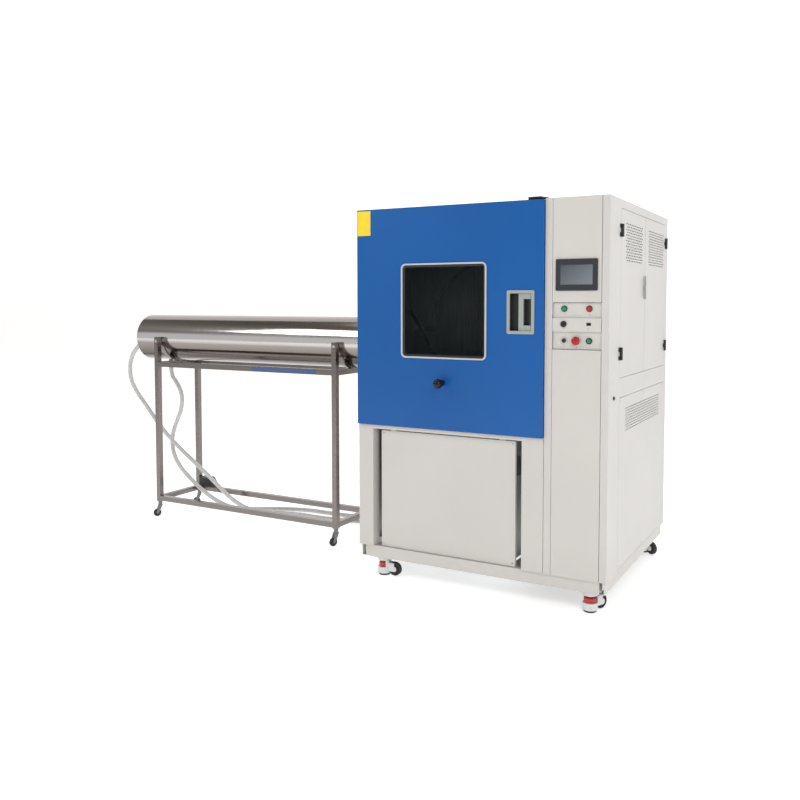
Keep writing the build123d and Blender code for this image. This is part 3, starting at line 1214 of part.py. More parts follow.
def levelling_foot():
    """Rubber pad, threaded stem and thumb ring."""
    stem_top = CASTER_CUP_TOP + CASTER_WINDOW - FOOT_TRAVEL - 1.5
    ring_low = CASTER_CUP_TOP + 5
    ring_high = ring_low + FOOT_RING_THICK
    profile = [(0, 0), (FOOT_PAD_RADIUS - 3, 0), (FOOT_PAD_RADIUS, 3), (FOOT_PAD_RADIUS, FOOT_PAD_THICK),
               (FOOT_STEM_RADIUS, FOOT_PAD_THICK + 3), (FOOT_STEM_RADIUS, ring_low), (FOOT_RING_RADIUS - 2, ring_low),
               (FOOT_RING_RADIUS, ring_low + 2), (FOOT_RING_RADIUS, ring_high - 2), (FOOT_RING_RADIUS - 2, ring_high),
               (FOOT_STEM_RADIUS, ring_high), (FOOT_STEM_RADIUS, stem_top), (0, stem_top)]
    return turned("Z", (0, 0), profile)


# Trolley
def square_tube(axis, centre, span):
    """A length of square tube, open at both ends."""
    a, b = around(centre[0], TUBE), around(centre[1], TUBE)
    section = rect(a, b) - rect(grow(a, -TUBE_WALL), grow(b, -TUBE_WALL))
    length = span[1] - span[0]
    if axis == "X":
        return rightward(span[0], section, length)
    if axis == "Y":
        return backward(span[0], section, length)
    return upward(span[0], section, length)


def trolley_frame():
    """Welded legs and rails, leg plugs, and the strap saddles that carry the tank."""
    pieces = []
    half = TUBE / 2
    for x in TROLLEY_X:
        for y in TROLLEY_Y:
            pieces.append(square_tube("Z", (x, y), (LEG_BOTTOM, LEG_TOP)))
            inner = TUBE - 2 * TUBE_WALL
            plug = block(around(x, inner), around(y, inner), (LEG_BOTTOM, LEG_BOTTOM + LIGHT_SOCKET))
            pieces.append(plug - rod("Z", (x, y), LIGHT_PIN + PIN_CLEARANCE, (LEG_BOTTOM - 1, LEG_BOTTOM + LIGHT_SOCKET - 2)))
            cap = block(around(x, TUBE), around(y, TUBE), (LEG_TOP, LEG_TOP + 3))
            pieces.append(cap)
    for z in (TOP_RAIL_Z, LOW_RAIL_Z):
        for y in TROLLEY_Y:
            pieces.append(square_tube("X", (y, z), (TROLLEY_X[0] + half, TROLLEY_X[1] - half)))
        for x in TROLLEY_X:
            pieces.append(square_tube("Y", (x, z), (TROLLEY_Y[0] + half, TROLLEY_Y[1] - half)))
    for x in TROLLEY_X:
        pieces.append(saddle(x))
    return pieces


def saddle(x):
    """Half-round strap from leg to leg under the tank, bolted to the legs."""
    outer = TANK_RADIUS + SADDLE_WALL
    inner_leg = (TROLLEY_Y[1] - TROLLEY_Y[0]) / 2 - TUBE / 2
    ring = Pos(TANK_Y, TANK_Z) * (Circle(outer) - Circle(TANK_RADIUS))
    ring = ring - rect((TANK_Y - 2 * outer, TANK_Y + 2 * outer), (TANK_Z, TANK_Z + 2 * outer))
    for side in (-1, 1):
        tab = tuple(sorted((TANK_Y + side * TANK_RADIUS, TANK_Y + side * inner_leg)))
        ring = ring + rect(tab, (TANK_Z - 26, TANK_Z)) - Pos(TANK_Y, TANK_Z) * Circle(TANK_RADIUS)
    return rightward(x - SADDLE_WIDTH / 2, ring, SADDLE_WIDTH)


def water_tank():
    """Rolled barrel, two flat ends with a rolled rim, and the welded hose ports."""
    x0, x1 = TANK_X
    barrel = rod("X", (TANK_Y, TANK_Z), TANK_RADIUS, (x0 + TANK_CAP_WALL, x1 - TANK_CAP_WALL))
    barrel = barrel - rod("X", (TANK_Y, TANK_Z), TANK_RADIUS - TANK_WALL, (x0, x1))
    barrel = barrel - rod("Z", (LOW_PORT_X, TANK_Y), PORT_RADIUS - 3, (TANK_Z - TANK_RADIUS - 5, TANK_Z))
    ends = []
    for x, step in ((x0, 1), (x1, -1)):
        near, far = x, x + step * TANK_CAP_WALL
        profile = [(0, near + step * 2), (TANK_RADIUS - 8, near + step * 2), (TANK_RADIUS - 8, near),
                   (TANK_RADIUS, near), (TANK_RADIUS, far), (TANK_RADIUS - TANK_WALL, far),
                   (TANK_RADIUS - TANK_WALL, x + step * TANK_RIM), (TANK_RADIUS - TANK_WALL - 2, x + step * TANK_RIM),
                   (TANK_RADIUS - TANK_WALL - 2, far + step * 2), (0, far + step * 2)]
        ends.append(turned("X", (TANK_Y, TANK_Z), profile))
    return [barrel] + ends + [side_port(), low_port()]


def side_port():
    """Elbow on the tank's left end whose mouth looks out and down."""
    x, y, z = SIDE_PORT_END
    tilt = math.radians(SIDE_PORT_TILT)
    run = 40.0
    knee = (x + run * math.cos(tilt), z + run * math.sin(tilt))
    barb = Plane(origin=(x, y, z), z_dir=(math.cos(tilt), 0, math.sin(tilt)))
    body = extrude(barb * Circle(PORT_RADIUS), amount=run)
    body = body + Pos(knee[0], y, knee[1]) * Sphere(PORT_RADIUS)
    body = body + rod("X", (y, knee[1]), PORT_RADIUS, (knee[0], TANK_X[0] + 2))
    flange = rod("X", (y, knee[1]), PORT_RADIUS + 4, (TANK_X[0] - 1, TANK_X[0] + 2))
    return body + flange


def low_port():
    """Straight stub under the tank."""
    stub = rod("Z", (LOW_PORT_X, TANK_Y), PORT_RADIUS, (LOW_PORT_Z, TANK_Z - TANK_RADIUS + 4))
    return stub - rod("X", (TANK_Y, TANK_Z), TANK_RADIUS, (LOW_PORT_X - 20, LOW_PORT_X + 20))


def valve_box():
    """Small dark box standing on the rear rail beside the left leg."""
    long, deep, tall = VALVE_BOX
    x0 = TROLLEY_X[0] + TUBE / 2 + VALVE_BOX_FROM_LEG
    low = LOW_RAIL_Z + TUBE / 2
    section = Polyline((x0, low), (x0 + long, low), (x0 + long * 0.62, low + tall), (x0, low + tall), close=True)
    return [backward(TROLLEY_Y[1] - deep / 2, make_face(section), deep)]


def light_caster_sides():
    """Place and heading of each trolley caster."""
    return {
        "front_left": (TROLLEY_X[0], TROLLEY_Y[0], 235.0),
        "front_right": (TROLLEY_X[1], TROLLEY_Y[0], 250.0),
        "rear_left": (TROLLEY_X[0], TROLLEY_Y[1], 215.0),
        "rear_right": (TROLLEY_X[1], TROLLEY_Y[1], 240.0),
    }


def light_fork():
    """Pin, crown and fork of a trolley caster."""
    crown_z = (LEG_BOTTOM - LIGHT_HEAD_GAP - LIGHT_CROWN, LEG_BOTTOM - LIGHT_HEAD_GAP)
    half = LIGHT_WHEEL_WIDTH / 2 + LIGHT_FORK_GAP
    reach, wheel_z = LIGHT_WHEEL_OFFSET, LIGHT_WHEEL_RADIUS
    body = rod("Z", (0, 0), LIGHT_PIN, (crown_z[0], LEG_BOTTOM + LIGHT_SOCKET - 6))
    body = body + rod("Z", (0, 0), 15, crown_z)
    neck = rod("Z", (0, 0), 13, (crown_z[0] - 22, crown_z[0]))
    body = body + neck
    low = crown_z[0] - 22
    plate = make_face(Polyline((-13, low), (13, low), (reach + 9, wheel_z), (reach, wheel_z - 9),
                               (reach - 9, wheel_z), close=True))
    yoke = block((-13, 14), (-half - LIGHT_FORK_PLATE, half + LIGHT_FORK_PLATE), (low, low + 4))
    body = body + yoke
    for y in (half, -half - LIGHT_FORK_PLATE):
        body = body + backward(y, plate, LIGHT_FORK_PLATE)
    axle = rod("Y", (reach, wheel_z), LIGHT_AXLE, (-half - LIGHT_FORK_PLATE, half + LIGHT_FORK_PLATE))
    return body + axle


def light_wheel():
    """Wheel of a trolley caster."""
    half, r = LIGHT_WHEEL_WIDTH / 2, LIGHT_WHEEL_RADIUS
    bore = LIGHT_AXLE + PIN_CLEARANCE
    profile = [(bore, -half), (r - 8, -half), (r - 8, -half + 1.5), (r - 5, -half + 1.5), (r - 2, -half + 1.5),
               (r, -half + 4), (r, half - 4), (r - 2, half - 1.5), (r - 8, half - 1.5), (r - 8, half), (bore, half)]
    return turned("Y", (LIGHT_WHEEL_OFFSET, LIGHT_WHEEL_RADIUS), profile)


def save(name, pieces):
    """Move the pieces to the origin of the part and write them as one node."""
    if not isinstance(pieces, list):
        pieces = [pieces]
    solids = [solid for piece in pieces for solid in piece.solids()]
    placed_solids = [Pos(*SHIFT) * solid for solid in solids]
    export_step(Compound(children=placed_solids), f"parts/{name}.step")


save("cabinet_frame", cabinet_frame())
save("casing_panels", casing_panels())
save("right_side_frame", right_side_frame())
save("lower_side_cover", lower_side_cover())
save("lower_front_cover", lower_front_cover())
save("column_fascia", column_fascia())
save("control_fascia", control_fascia())
save("control_fittings", control_fittings())
save("operator_screen", operator_screen())
save("start_button", push_button("start", BUTTON_TRAVEL))
save("light_button", push_button("light", BUTTON_TRAVEL))
save("stop_button", stop_button())
save("key_switch", key_switch())
save("hinge_brackets", hinge_brackets())
save("door_shell", door_shell())
save("door_liner", door_liner())
save("door_gasket", door_gasket())
save("window_trim", window_trim())
save("window_panes", window_panes())
save("handle_bezel", handle_bezel())
save("handle_grip", handle_grip())
save("latch_tongue", latch_tongue())
save("window_wiper", window_wiper())
save("chamber_liner", chamber_liner())
save("chamber_fittings", chamber_fittings())
save("spray_arch", spray_arch())
save("turntable", turntable())
save("water_reservoir", water_reservoir())
save("pump_and_drives", pump_and_drives() + rear_connections())
save("electrical_board", electrical_board())
save("door_switch", door_switch())
save("side_door_front", side_door(True))
save("side_door_rear", side_door(False))
save("side_door_handle", side_door_handle())
save("side_lock", side_lock())
for corner, (x, y, angle) in caster_sides().items():
    save(f"caster_housing_{corner}", placed(caster_housing(), x, y, angle))
    save(f"caster_wheel_{corner}", placed(caster_wheel(), x, y, angle))
    save(f"levelling_foot_{corner}", placed(levelling_foot(), x, y, angle))
save("trolley_frame", trolley_frame())
save("water_tank", water_tank())
save("valve_box", valve_box())
for corner, (x, y, angle) in light_caster_sides().items():
    save(f"trolley_fork_{corner}", placed(light_fork(), x, y, angle))
    save(f"trolley_wheel_{corner}", placed(light_wheel(), x, y, angle))
save("upper_hose", hose(UPPER_HOSE))
save("lower_hose", hose(LOWER_HOSE))
print("origin shift", [round(value, 3) for value in SHIFT])
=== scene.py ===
"""Looks of a rain test chamber and the wheeled stand of its water tank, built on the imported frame."""

from __future__ import annotations

import json
import logging
import math
from dataclasses import dataclass, field
from enum import Enum
from itertools import product
from typing import Iterable, Sequence

import bmesh
import bpy
import numpy as np
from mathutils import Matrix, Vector

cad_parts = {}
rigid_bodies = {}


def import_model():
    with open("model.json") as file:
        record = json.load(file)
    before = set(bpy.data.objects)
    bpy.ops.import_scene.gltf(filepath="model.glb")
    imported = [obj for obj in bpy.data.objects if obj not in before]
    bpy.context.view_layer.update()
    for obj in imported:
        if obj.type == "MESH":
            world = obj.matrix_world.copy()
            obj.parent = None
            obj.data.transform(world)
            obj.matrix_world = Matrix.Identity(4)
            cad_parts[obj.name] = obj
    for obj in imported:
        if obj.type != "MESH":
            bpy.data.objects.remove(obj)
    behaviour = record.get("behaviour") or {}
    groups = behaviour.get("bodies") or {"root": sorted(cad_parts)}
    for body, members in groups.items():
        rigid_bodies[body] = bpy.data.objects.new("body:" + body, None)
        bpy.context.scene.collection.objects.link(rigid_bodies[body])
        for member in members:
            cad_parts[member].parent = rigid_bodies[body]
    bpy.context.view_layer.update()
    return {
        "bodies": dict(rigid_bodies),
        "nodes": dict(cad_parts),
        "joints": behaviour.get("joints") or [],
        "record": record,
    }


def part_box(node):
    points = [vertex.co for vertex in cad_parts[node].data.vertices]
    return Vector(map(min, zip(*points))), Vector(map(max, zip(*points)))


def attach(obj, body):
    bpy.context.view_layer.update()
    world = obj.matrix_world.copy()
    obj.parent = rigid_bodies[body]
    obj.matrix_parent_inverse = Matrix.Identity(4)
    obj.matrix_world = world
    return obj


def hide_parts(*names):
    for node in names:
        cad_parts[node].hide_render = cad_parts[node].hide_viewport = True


log = logging.getLogger("rain_chamber")

Point = tuple[float, float, float]
Colour = tuple[float, float, float]
Span = tuple[float, float]
Nodes = dict[str, bpy.types.Object]
Pieces = list[bpy.types.Object]

# Metres in a millimetre
MM = 0.001

# Millimetres by which a thin piece starts inside the face that carries it
SUNK = 0.2

# Degrees below which the angle between two faces is shaded smooth
SMOOTH_BELOW = 35.0


class Place:
    """Turns millimetres from the cabinet's left face, column front and floor into the row frame."""

    origin = np.zeros(3)

    @classmethod
    def settle(cls) -> None:
        """Reads the cabinet's left face and the control column's front from the CAD nodes."""
        cls.origin = np.array([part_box("casing_panels")[0].x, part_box("column_fascia")[0].y, 0.0])

    @classmethod
    def at(cls, x: float, y: float, z: float) -> np.ndarray:
        """One point in metres, from millimetres to the right, to the back and up."""
        return cls.origin + np.array([x, y, z], float) / 1000.0

    @classmethod
    def many(cls, points: np.ndarray) -> np.ndarray:
        """An array of points whose last axis is x, y, z in millimetres, in metres."""
        return cls.origin + np.asarray(points, float) / 1000.0

    @classmethod
    def x(cls, value: float) -> float:
        """The x in metres of millimetres to the right of the cabinet's left face."""
        return float(cls.at(value, 0.0, 0.0)[0])

    @classmethod
    def y(cls, value: float) -> float:
        """The y in metres of millimetres behind the control column's front."""
        return float(cls.at(0.0, value, 0.0)[1])

    @classmethod
    def z(cls, value: float) -> float:
        """The z in metres of millimetres above the floor."""
        return float(cls.at(0.0, 0.0, value)[2])


@dataclass(frozen=True)
class Frame:
    """A local frame: a flat outline lies across and up, and height goes along out."""

    origin: Sequence[float]
    across: Sequence[float]
    up: Sequence[float]
    out: Sequence[float]

    def lift(self, outline: np.ndarray, height: float) -> np.ndarray:
        """Outline points (n, 2) at a height along the outward direction, shape (n, 3)."""
        base = np.asarray(self.origin) + height * np.asarray(self.out)
        return base + outline[:, :1] * np.asarray(self.across) + outline[:, 1:] * np.asarray(self.up)


class Facing(Enum):
    """Directions across, up and out of a face of the object."""

    FRONT = ((1.0, 0.0, 0.0), (0.0, 0.0, 1.0), (0.0, -1.0, 0.0))
    RIGHT = ((0.0, 1.0, 0.0), (0.0, 0.0, 1.0), (1.0, 0.0, 0.0))
    BACK = ((-1.0, 0.0, 0.0), (0.0, 0.0, 1.0), (0.0, 1.0, 0.0))
    TOP = ((1.0, 0.0, 0.0), (0.0, 1.0, 0.0), (0.0, 0.0, 1.0))

    def frame(self, x: float, y: float, z: float) -> Frame:
        """The frame that faces this way at a point in millimetres."""
        return Frame((x, y, z), *self.value)


# Surfaces worked out with numpy


@dataclass
class Surface:
    """Vertices and faces that grow piece by piece and become one mesh object."""

    points: list[np.ndarray] = field(default_factory=list)
    faces: list[tuple[int, ...]] = field(default_factory=list)
    count: int = 0

    def grid(self, points: np.ndarray, round_u: bool = False, round_v: bool = False,
             cap_start: bool = False, cap_end: bool = False) -> "Surface":
        """Adds a grid of points as quads.

        The face between columns j and j + 1 of rows i and i + 1 is (i, j), (i, j + 1),
        (i + 1, j + 1), (i + 1, j), with indices taken modulo the row length when closed.

        Args:
            points: Array of shape (rows, columns, 3) in millimetres.
            round_u: Whether the last row joins the first.
            round_v: Whether the last column joins the first.
            cap_start: Whether the first row is filled with one face.
            cap_end: Whether the last row is filled with one face.

        Returns:
            The surface itself.
        """
        rows, columns = points.shape[:2]
        index = np.arange(rows * columns).reshape(rows, columns) + self.count
        lower = index if round_u else index[:-1]
        upper = np.roll(index, -1, axis=0) if round_u else index[1:]
        if round_v:
            quads = np.stack([lower, np.roll(lower, -1, 1), np.roll(upper, -1, 1), upper], axis=-1)
        else:
            quads = np.stack([lower[:, :-1], lower[:, 1:], upper[:, 1:], upper[:, :-1]], axis=-1)
        self.faces += [tuple(face) for face in quads.reshape(-1, 4).tolist()]
        if cap_start:
            self.faces.append(tuple(index[0][::-1].tolist()))
        if cap_end:
            self.faces.append(tuple(index[-1].tolist()))
        self.points.append(points.reshape(-1, 3))
        self.count += rows * columns
        return self

    def plate(self, frame: Frame, size: tuple[float, float], corner: float,
              steps: Sequence[tuple[float, float]], hollow: bool = False) -> "Surface":
        """Adds a rounded rectangle carried through steps of (inset, height).

        Each step shrinks the outline by its inset, corners included, and lifts it by its height,
        so the corner of a step has the radius corner - inset, and at least 0.05.

        Args:
            frame: Origin and directions of the plate.
            size: Width and height of the outline.
            corner: Corner radius of the outline.
            steps: Inset and height of each loop, from the back of the plate to its front.
            hollow: Whether the last loop joins the first, which leaves a ring.

        Returns:
            The surface itself.
        """
        loops = []
        for inset, height in steps:
            width, length = (side - 2 * inset for side in size)
            outline = rounded_outline(width, length, max(corner - inset, 0.05))
            loops.append(frame.lift(outline, height))
        closed = not hollow
        return self.grid(np.stack(loops), round_u=hollow, round_v=True, cap_start=closed, cap_end=closed)

    def turned(self, frame: Frame, profile: Sequence[tuple[float, float]], segments: int,
               ring: bool = False) -> "Surface":
        """Adds a profile turned about the frame's outward direction.

        Point (r, h) of the profile goes to r cos t across, r sin t up and h outwards.

        Args:
            frame: Centre and directions of the turning.
            profile: Radius and height of each loop.
            segments: Number of steps round the axis.
            ring: Whether the last loop joins the first, as a ring's section does.

        Returns:
            The surface itself.
        """
        angle = np.linspace(0.0, 2.0 * math.pi, segments, endpoint=False)
        circle = np.stack([np.cos(angle), np.sin(angle)], axis=-1)
        loops = np.stack([frame.lift(circle * radius, height) for radius, height in profile])
        return self.grid(loops, round_u=ring, round_v=True, cap_start=not ring, cap_end=not ring)

    def mesh(self, name: str) -> bpy.types.Mesh:
        """Makes a mesh of the surface, in metres, with its place in its vertices.

        Args:
            name: Name of the mesh.

        Returns:
            The mesh.
        """
        mesh = bpy.data.meshes.new(name)
        mesh.from_pydata(Place.many(np.concatenate(self.points)).tolist(), [], self.faces)
        return mesh

    def piece(self, name: str, body: str, material: bpy.types.Material,
              smooth: float | None = SMOOTH_BELOW) -> bpy.types.Object:
        """Makes the mesh object, dresses it and lets it ride on a body.

        Args:
            name: Name of the object.
            body: CAD body that the object rides on.
            material: Finish of the object.
            smooth: Largest angle in degrees that is shaded smooth, or None for flat faces.

        Returns:
            The object.
        """
        mesh = self.mesh(name)
        mesh.validate()
        mesh.materials.append(material)
        tidy_normals(mesh, smooth)
        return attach(linked(name, mesh), body)


def rounded_outline(width: float, height: float, corner: float, steps: int = 6) -> np.ndarray:
    """Outline of a rounded rectangle, counter-clockwise, (cos t, sin t) arcs about four corner centres.

    Args:
        width: Size along the first direction.
        height: Size along the second direction.
        corner: Radius of the corners.
        steps: Points of each corner arc, less one.

    Returns:
        Array of shape (4 * (steps + 1), 2).
    """
    corner = min(corner, width / 2 - 0.01, height / 2 - 0.01)
    arc = np.linspace(0.0, math.pi / 2, steps + 1)
    turns = arc[None, :] + np.arange(4)[:, None] * math.pi / 2
    signs = np.array([(1, 1), (-1, 1), (-1, -1), (1, -1)], float)
    centres = signs * np.array([width / 2 - corner, height / 2 - corner])
    points = centres[:, None, :] + corner * np.stack([np.cos(turns), np.sin(turns)], axis=-1)
    return points.reshape(-1, 2)


def tidy_normals(mesh: bpy.types.Mesh, smooth: float | None) -> None:
    """Points the faces outwards and sets smooth shading below an angle.

    Args:
        mesh: Mesh to tidy.
        smooth: Largest angle in degrees that is shaded smooth, or None for flat faces.
    """
    work = bmesh.new()
    work.from_mesh(mesh)
    bmesh.ops.recalc_face_normals(work, faces=work.faces)
    work.to_mesh(mesh)
    work.free()
    if smooth is not None:
        mesh.shade_smooth()
        mesh.set_sharp_from_angle(angle=math.radians(smooth))


def linked(name: str, data: bpy.types.ID) -> bpy.types.Object:
    """Makes an object of a mesh, curve, light or camera and links it to the scene.

    Args:
        name: Name of the object.
        data: What the object shows.

    Returns:
        The object.
    """
    made = bpy.data.objects.new(name, data)
    bpy.context.scene.collection.objects.link(made)
    return made


# Shader expressions


class Value:
    """An output of a node that takes part in Python arithmetic."""

    def __init__(self, tree: "NodeTree", node: bpy.types.Node, out: int | str = 0) -> None:
        """Keeps what the value stands for.

        Args:
            tree: Tree that further nodes are added to.
            node: Node that gives the value.
            out: Name or number of the node's output.
        """
        self.tree = tree
        self.node = node
        self.out = out

    @property
    def socket(self) -> bpy.types.NodeSocket:
        """The output socket."""
        return self.node.outputs[self.out]

    def _math(self, operation: str, *others: "Value | float") -> "Value":
        """A Math node of this value and others."""
        inputs = dict(enumerate((self, *others)))
        return self.tree.node("ShaderNodeMath", {"operation": operation}, inputs)

    def __add__(self, other: "Value | float") -> "Value":
        """Sum."""
        return self._math("ADD", other)

    __radd__ = __add__

    def __mul__(self, other: "Value | float") -> "Value":
        """Product."""
        return self._math("MULTIPLY", other)

    __rmul__ = __mul__

    def __sub__(self, other: "Value | float") -> "Value":
        """Difference."""
        return self._math("SUBTRACT", other)

    def __rsub__(self, other: "Value | float") -> "Value":
        """Difference from a number."""
        return self.tree.node("ShaderNodeMath", {"operation": "SUBTRACT"}, {0: other, 1: self})

    def __truediv__(self, other: "Value | float") -> "Value":
        """Quotient."""
        return self._math("DIVIDE", other)

    def __pow__(self, other: "Value | float") -> "Value":
        """Power."""
        return self._math("POWER", other)

    def __abs__(self) -> "Value":
        """Absolute value."""
        return self._math("ABSOLUTE")

    def above(self, limit: "Value | float") -> "Value":
        """One where the value is over the limit."""
        return self._math("GREATER_THAN", limit)

    def below(self, limit: "Value | float") -> "Value":
        """One where the value is under the limit."""
        return self._math("LESS_THAN", limit)

    def between(self, low: float, high: float) -> "Value":
        """One where the value lies between two limits."""
        return self.above(low) * self.below(high)

    def limited(self) -> "Value":
        """The value held between 0 and 1."""
        return self._math("MINIMUM", 1.0)._math("MAXIMUM", 0.0)

    def either(self, other: "Value | float") -> "Value":
        """The larger of two values."""
        return self._math("MAXIMUM", other)

    def root(self) -> "Value":
        """Square root."""
        return self._math("SQRT")

    def sine(self) -> "Value":
        """Sine."""
        return self._math("SINE")

    def ramp(self, low: float, high: float) -> "Value":
        """Zero at low, one at high, straight between."""
        return ((self - low) / (high - low)).limited()


class NodeTree:
    """A node tree built from expressions, whose nodes all come from one method."""

    def __init__(self, tree: bpy.types.NodeTree) -> None:
        """Takes a tree over and empties it."""
        self.tree = tree
        self.tree.nodes.clear()

    def node(self, kind: str, settings: dict | None = None, values: dict | None = None,
             out: int | str = 0) -> Value:
        """Adds a node.

        Args:
            kind: Blender's node type.
            settings: Node attributes, set before the sockets.
            values: Socket name or number to a number, colour or Value.
            out: Name or number of the output that is used.

        Returns:
            The output as a Value.
        """
        node = self.tree.nodes.new(kind)
        for key, value in (settings or {}).items():
            if key == "stops":
                self._set_stops(node.color_ramp, value)
            else:
                setattr(node, key, value)
        for key, value in (values or {}).items():
            self._feed(node.inputs[key], value)
        return Value(self, node, out)

    @staticmethod
    def _set_stops(ramp: bpy.types.ColorRamp, stops: Sequence[tuple[float, Colour]]) -> None:
        """Sets the places and colours of a colour ramp's stops.

        Args:
            ramp: Ramp to set.
            stops: Place from 0 to 1 and colour of each stop, in rising order.
        """
        while len(ramp.elements) < len(stops):
            ramp.elements.new(0.5)
        for element, (place, colour) in zip(ramp.elements, stops):
            element.position = place
            element.color = (*colour, 1.0)

    def _feed(self, socket: bpy.types.NodeSocket, value: "Value | Sequence[float] | float") -> None:
        """Links a Value to a socket, or sets a number, colour or vector on it.

        Args:
            socket: Input socket.
            value: What it gets.
        """
        if isinstance(value, Value):
            self.tree.links.new(value.socket, socket)
        elif socket.type == "RGBA":
            socket.default_value = (*value, 1.0)
        else:
            socket.default_value = value

    def split(self, vector: Value) -> tuple[Value, Value, Value]:
        """The three numbers of a vector."""
        node = self.node("ShaderNodeSeparateXYZ", values={0: vector}).node
        return Value(self, node, 0), Value(self, node, 1), Value(self, node, 2)


class Shader(NodeTree):
    """A material whose patterns lie on Object coordinates."""

    def __init__(self, name: str) -> None:
        """Starts an empty material.

        Args:
            name: Name of the material.
        """
        self.material = bpy.data.materials.new(name)
        self.material.use_nodes = True
        super().__init__(self.material.node_tree)
        self._object: Value | None = None

    @property
    def place(self) -> Value:
        """Object coordinates, from one node that is made when they are first asked for.

        Returns:
            The coordinates in metres in the row frame.
        """
        if self._object is None:
            self._object = self.node("ShaderNodeTexCoord", out="Object")
        return self._object

    def moved(self, origin: Sequence[float] = (0, 0, 0), scale: Sequence[float] = (1, 1, 1)) -> Value:
        """Object coordinates seen from an origin and stretched.

        Args:
            origin: Point in metres that becomes zero.
            scale: Factor on each coordinate.

        Returns:
            The vector.
        """
        return self.node("ShaderNodeMapping", {"vector_type": "TEXTURE"}, {
            "Vector": self.place, "Location": tuple(origin), "Scale": tuple(1.0 / value for value in scale)})

    def from_cabinet(self, x: float = 0.0, z: float = 0.0) -> tuple[Value, Value, Value]:
        """Metres to the right, back and up of a point on the column's front, given in millimetres."""
        return self.split(self.moved(Place.at(x, 0.0, z)))

    def noise(self, vector: Value, scale: float, detail: float = 3.0, rough: float = 0.5) -> Value:
        """Noise between 0 and 1."""
        values = {"Vector": vector, "Scale": scale, "Detail": detail, "Roughness": rough}
        return self.node("ShaderNodeTexNoise", values=values)

    def fine(self, scale: float) -> Value:
        """Even fine grain of a surface, by its scale per metre."""
        return self.noise(self.place, scale, 2.0)

    def cloudy(self, low: Colour, high: Colour) -> Value:
        """Two close tints of a baked coat in slow clouds."""
        return self.mix(self.noise(self.place, 2.2, 3.0).ramp(0.3, 0.75), low, high)

    def dust(self, share: float) -> Value:
        """How much dust lies on a face: none above 0.30 metres, most below 0.08 metres."""
        height = self.split(self.place)[2]
        return height.ramp(0.30, 0.08) * share * self.noise(self.place, 30.0, 5.0)

    def mix(self, factor: "Value | float", low: "Value | Colour", high: "Value | Colour") -> Value:
        """A colour between two. Inputs 6 and 7 and output 2 are the colour ones of a Mix node."""
        return self.node("ShaderNodeMix", {"data_type": "RGBA"}, {0: factor, 6: low, 7: high}, out=2)

    def bump(self, height: Value, strength: float, distance: float, normal: Value | None = None) -> Value:
        """A normal from a height.

        Args:
            height: Height of the relief.
            strength: Share of the relief that shows.
            distance: Depth of the relief in metres.
            normal: Normal of a coarser relief below this one.

        Returns:
            The normal.
        """
        values: dict = {"Strength": strength, "Distance": distance, "Height": height}
        if normal is not None:
            values["Normal"] = normal
        return self.node("ShaderNodeBump", values=values, out="Normal")

    def surface(self, **values: "Value | Colour | float") -> bpy.types.Material:
        """Ends the material with a Principled shader.

        Args:
            values: Socket names with underscores for spaces, to numbers, colours or Values.

        Returns:
            The finished material.
        """
        sockets = {key.replace("_", " "): value for key, value in values.items()}
        shader = self.node("ShaderNodeBsdfPrincipled", values=sockets)
        self.node("ShaderNodeOutputMaterial", values={"Surface": shader})
        return self.material


def shade(colour: Colour, factor: float) -> Colour:
    """A colour made darker or lighter, with no channel over 1."""
    return tuple(min(1.0, channel * factor) for channel in colour)


# Finishes that several sub-assemblies share


@dataclass(frozen=True)
class PowderCoat:
    """Baked powder paint: fine orange peel, slight cloudiness, dust low down."""

    name: str
    colour: Colour
    dirt: Colour = (0.36, 0.33, 0.29)
    roughness: float = 0.42
    peel: float = 0.10
    dust: float = 0.10

    def make(self) -> bpy.types.Material:
        """Makes the paint.

        Returns:
            The material.
        """
        s = Shader(self.name)
        dust = s.dust(self.dust)
        coat = s.cloudy(shade(self.colour, 0.97), shade(self.colour, 1.02))
        rough = self.roughness + (s.noise(s.place, 18.0, 4.0) - 0.5) * 0.10 + dust * 0.4
        return s.surface(Base_Color=s.mix(dust, coat, self.dirt), Roughness=rough, Coat_Weight=0.12,
                         Coat_Roughness=0.18, Normal=s.bump(s.fine(420.0), self.peel, 0.0006))


class Grain(Enum):
    """Direction of the brushing, as the stretch of the pattern."""

    ALONG_X = (3.0, 420.0, 420.0)
    ALONG_Z = (420.0, 420.0, 3.0)


@dataclass(frozen=True)
class Brushed:
    """Brushed metal: fine parallel scratches that vary gloss and colour."""

    name: str
    grain: Grain
    colour: Colour = (0.60, 0.60, 0.61)
    roughness: float = 0.28
    scratch: float = 0.12

    def make(self) -> bpy.types.Material:
        """Makes the metal.

        Returns:
            The material.
        """
        s = Shader(self.name)
        lines = s.noise(s.moved(scale=self.grain.value), 1.0, 3.0, 0.65)
        stain = s.noise(s.place, 4.0, 4.0)
        base = s.mix(lines, shade(self.colour, 0.86), shade(self.colour, 1.12))
        rough = self.roughness + (lines - 0.5) * 0.22 + (stain - 0.5) * 0.08
        return s.surface(Base_Color=base, Metallic=1.0, Roughness=rough,
                         Normal=s.bump(lines, self.scratch, 0.0004))


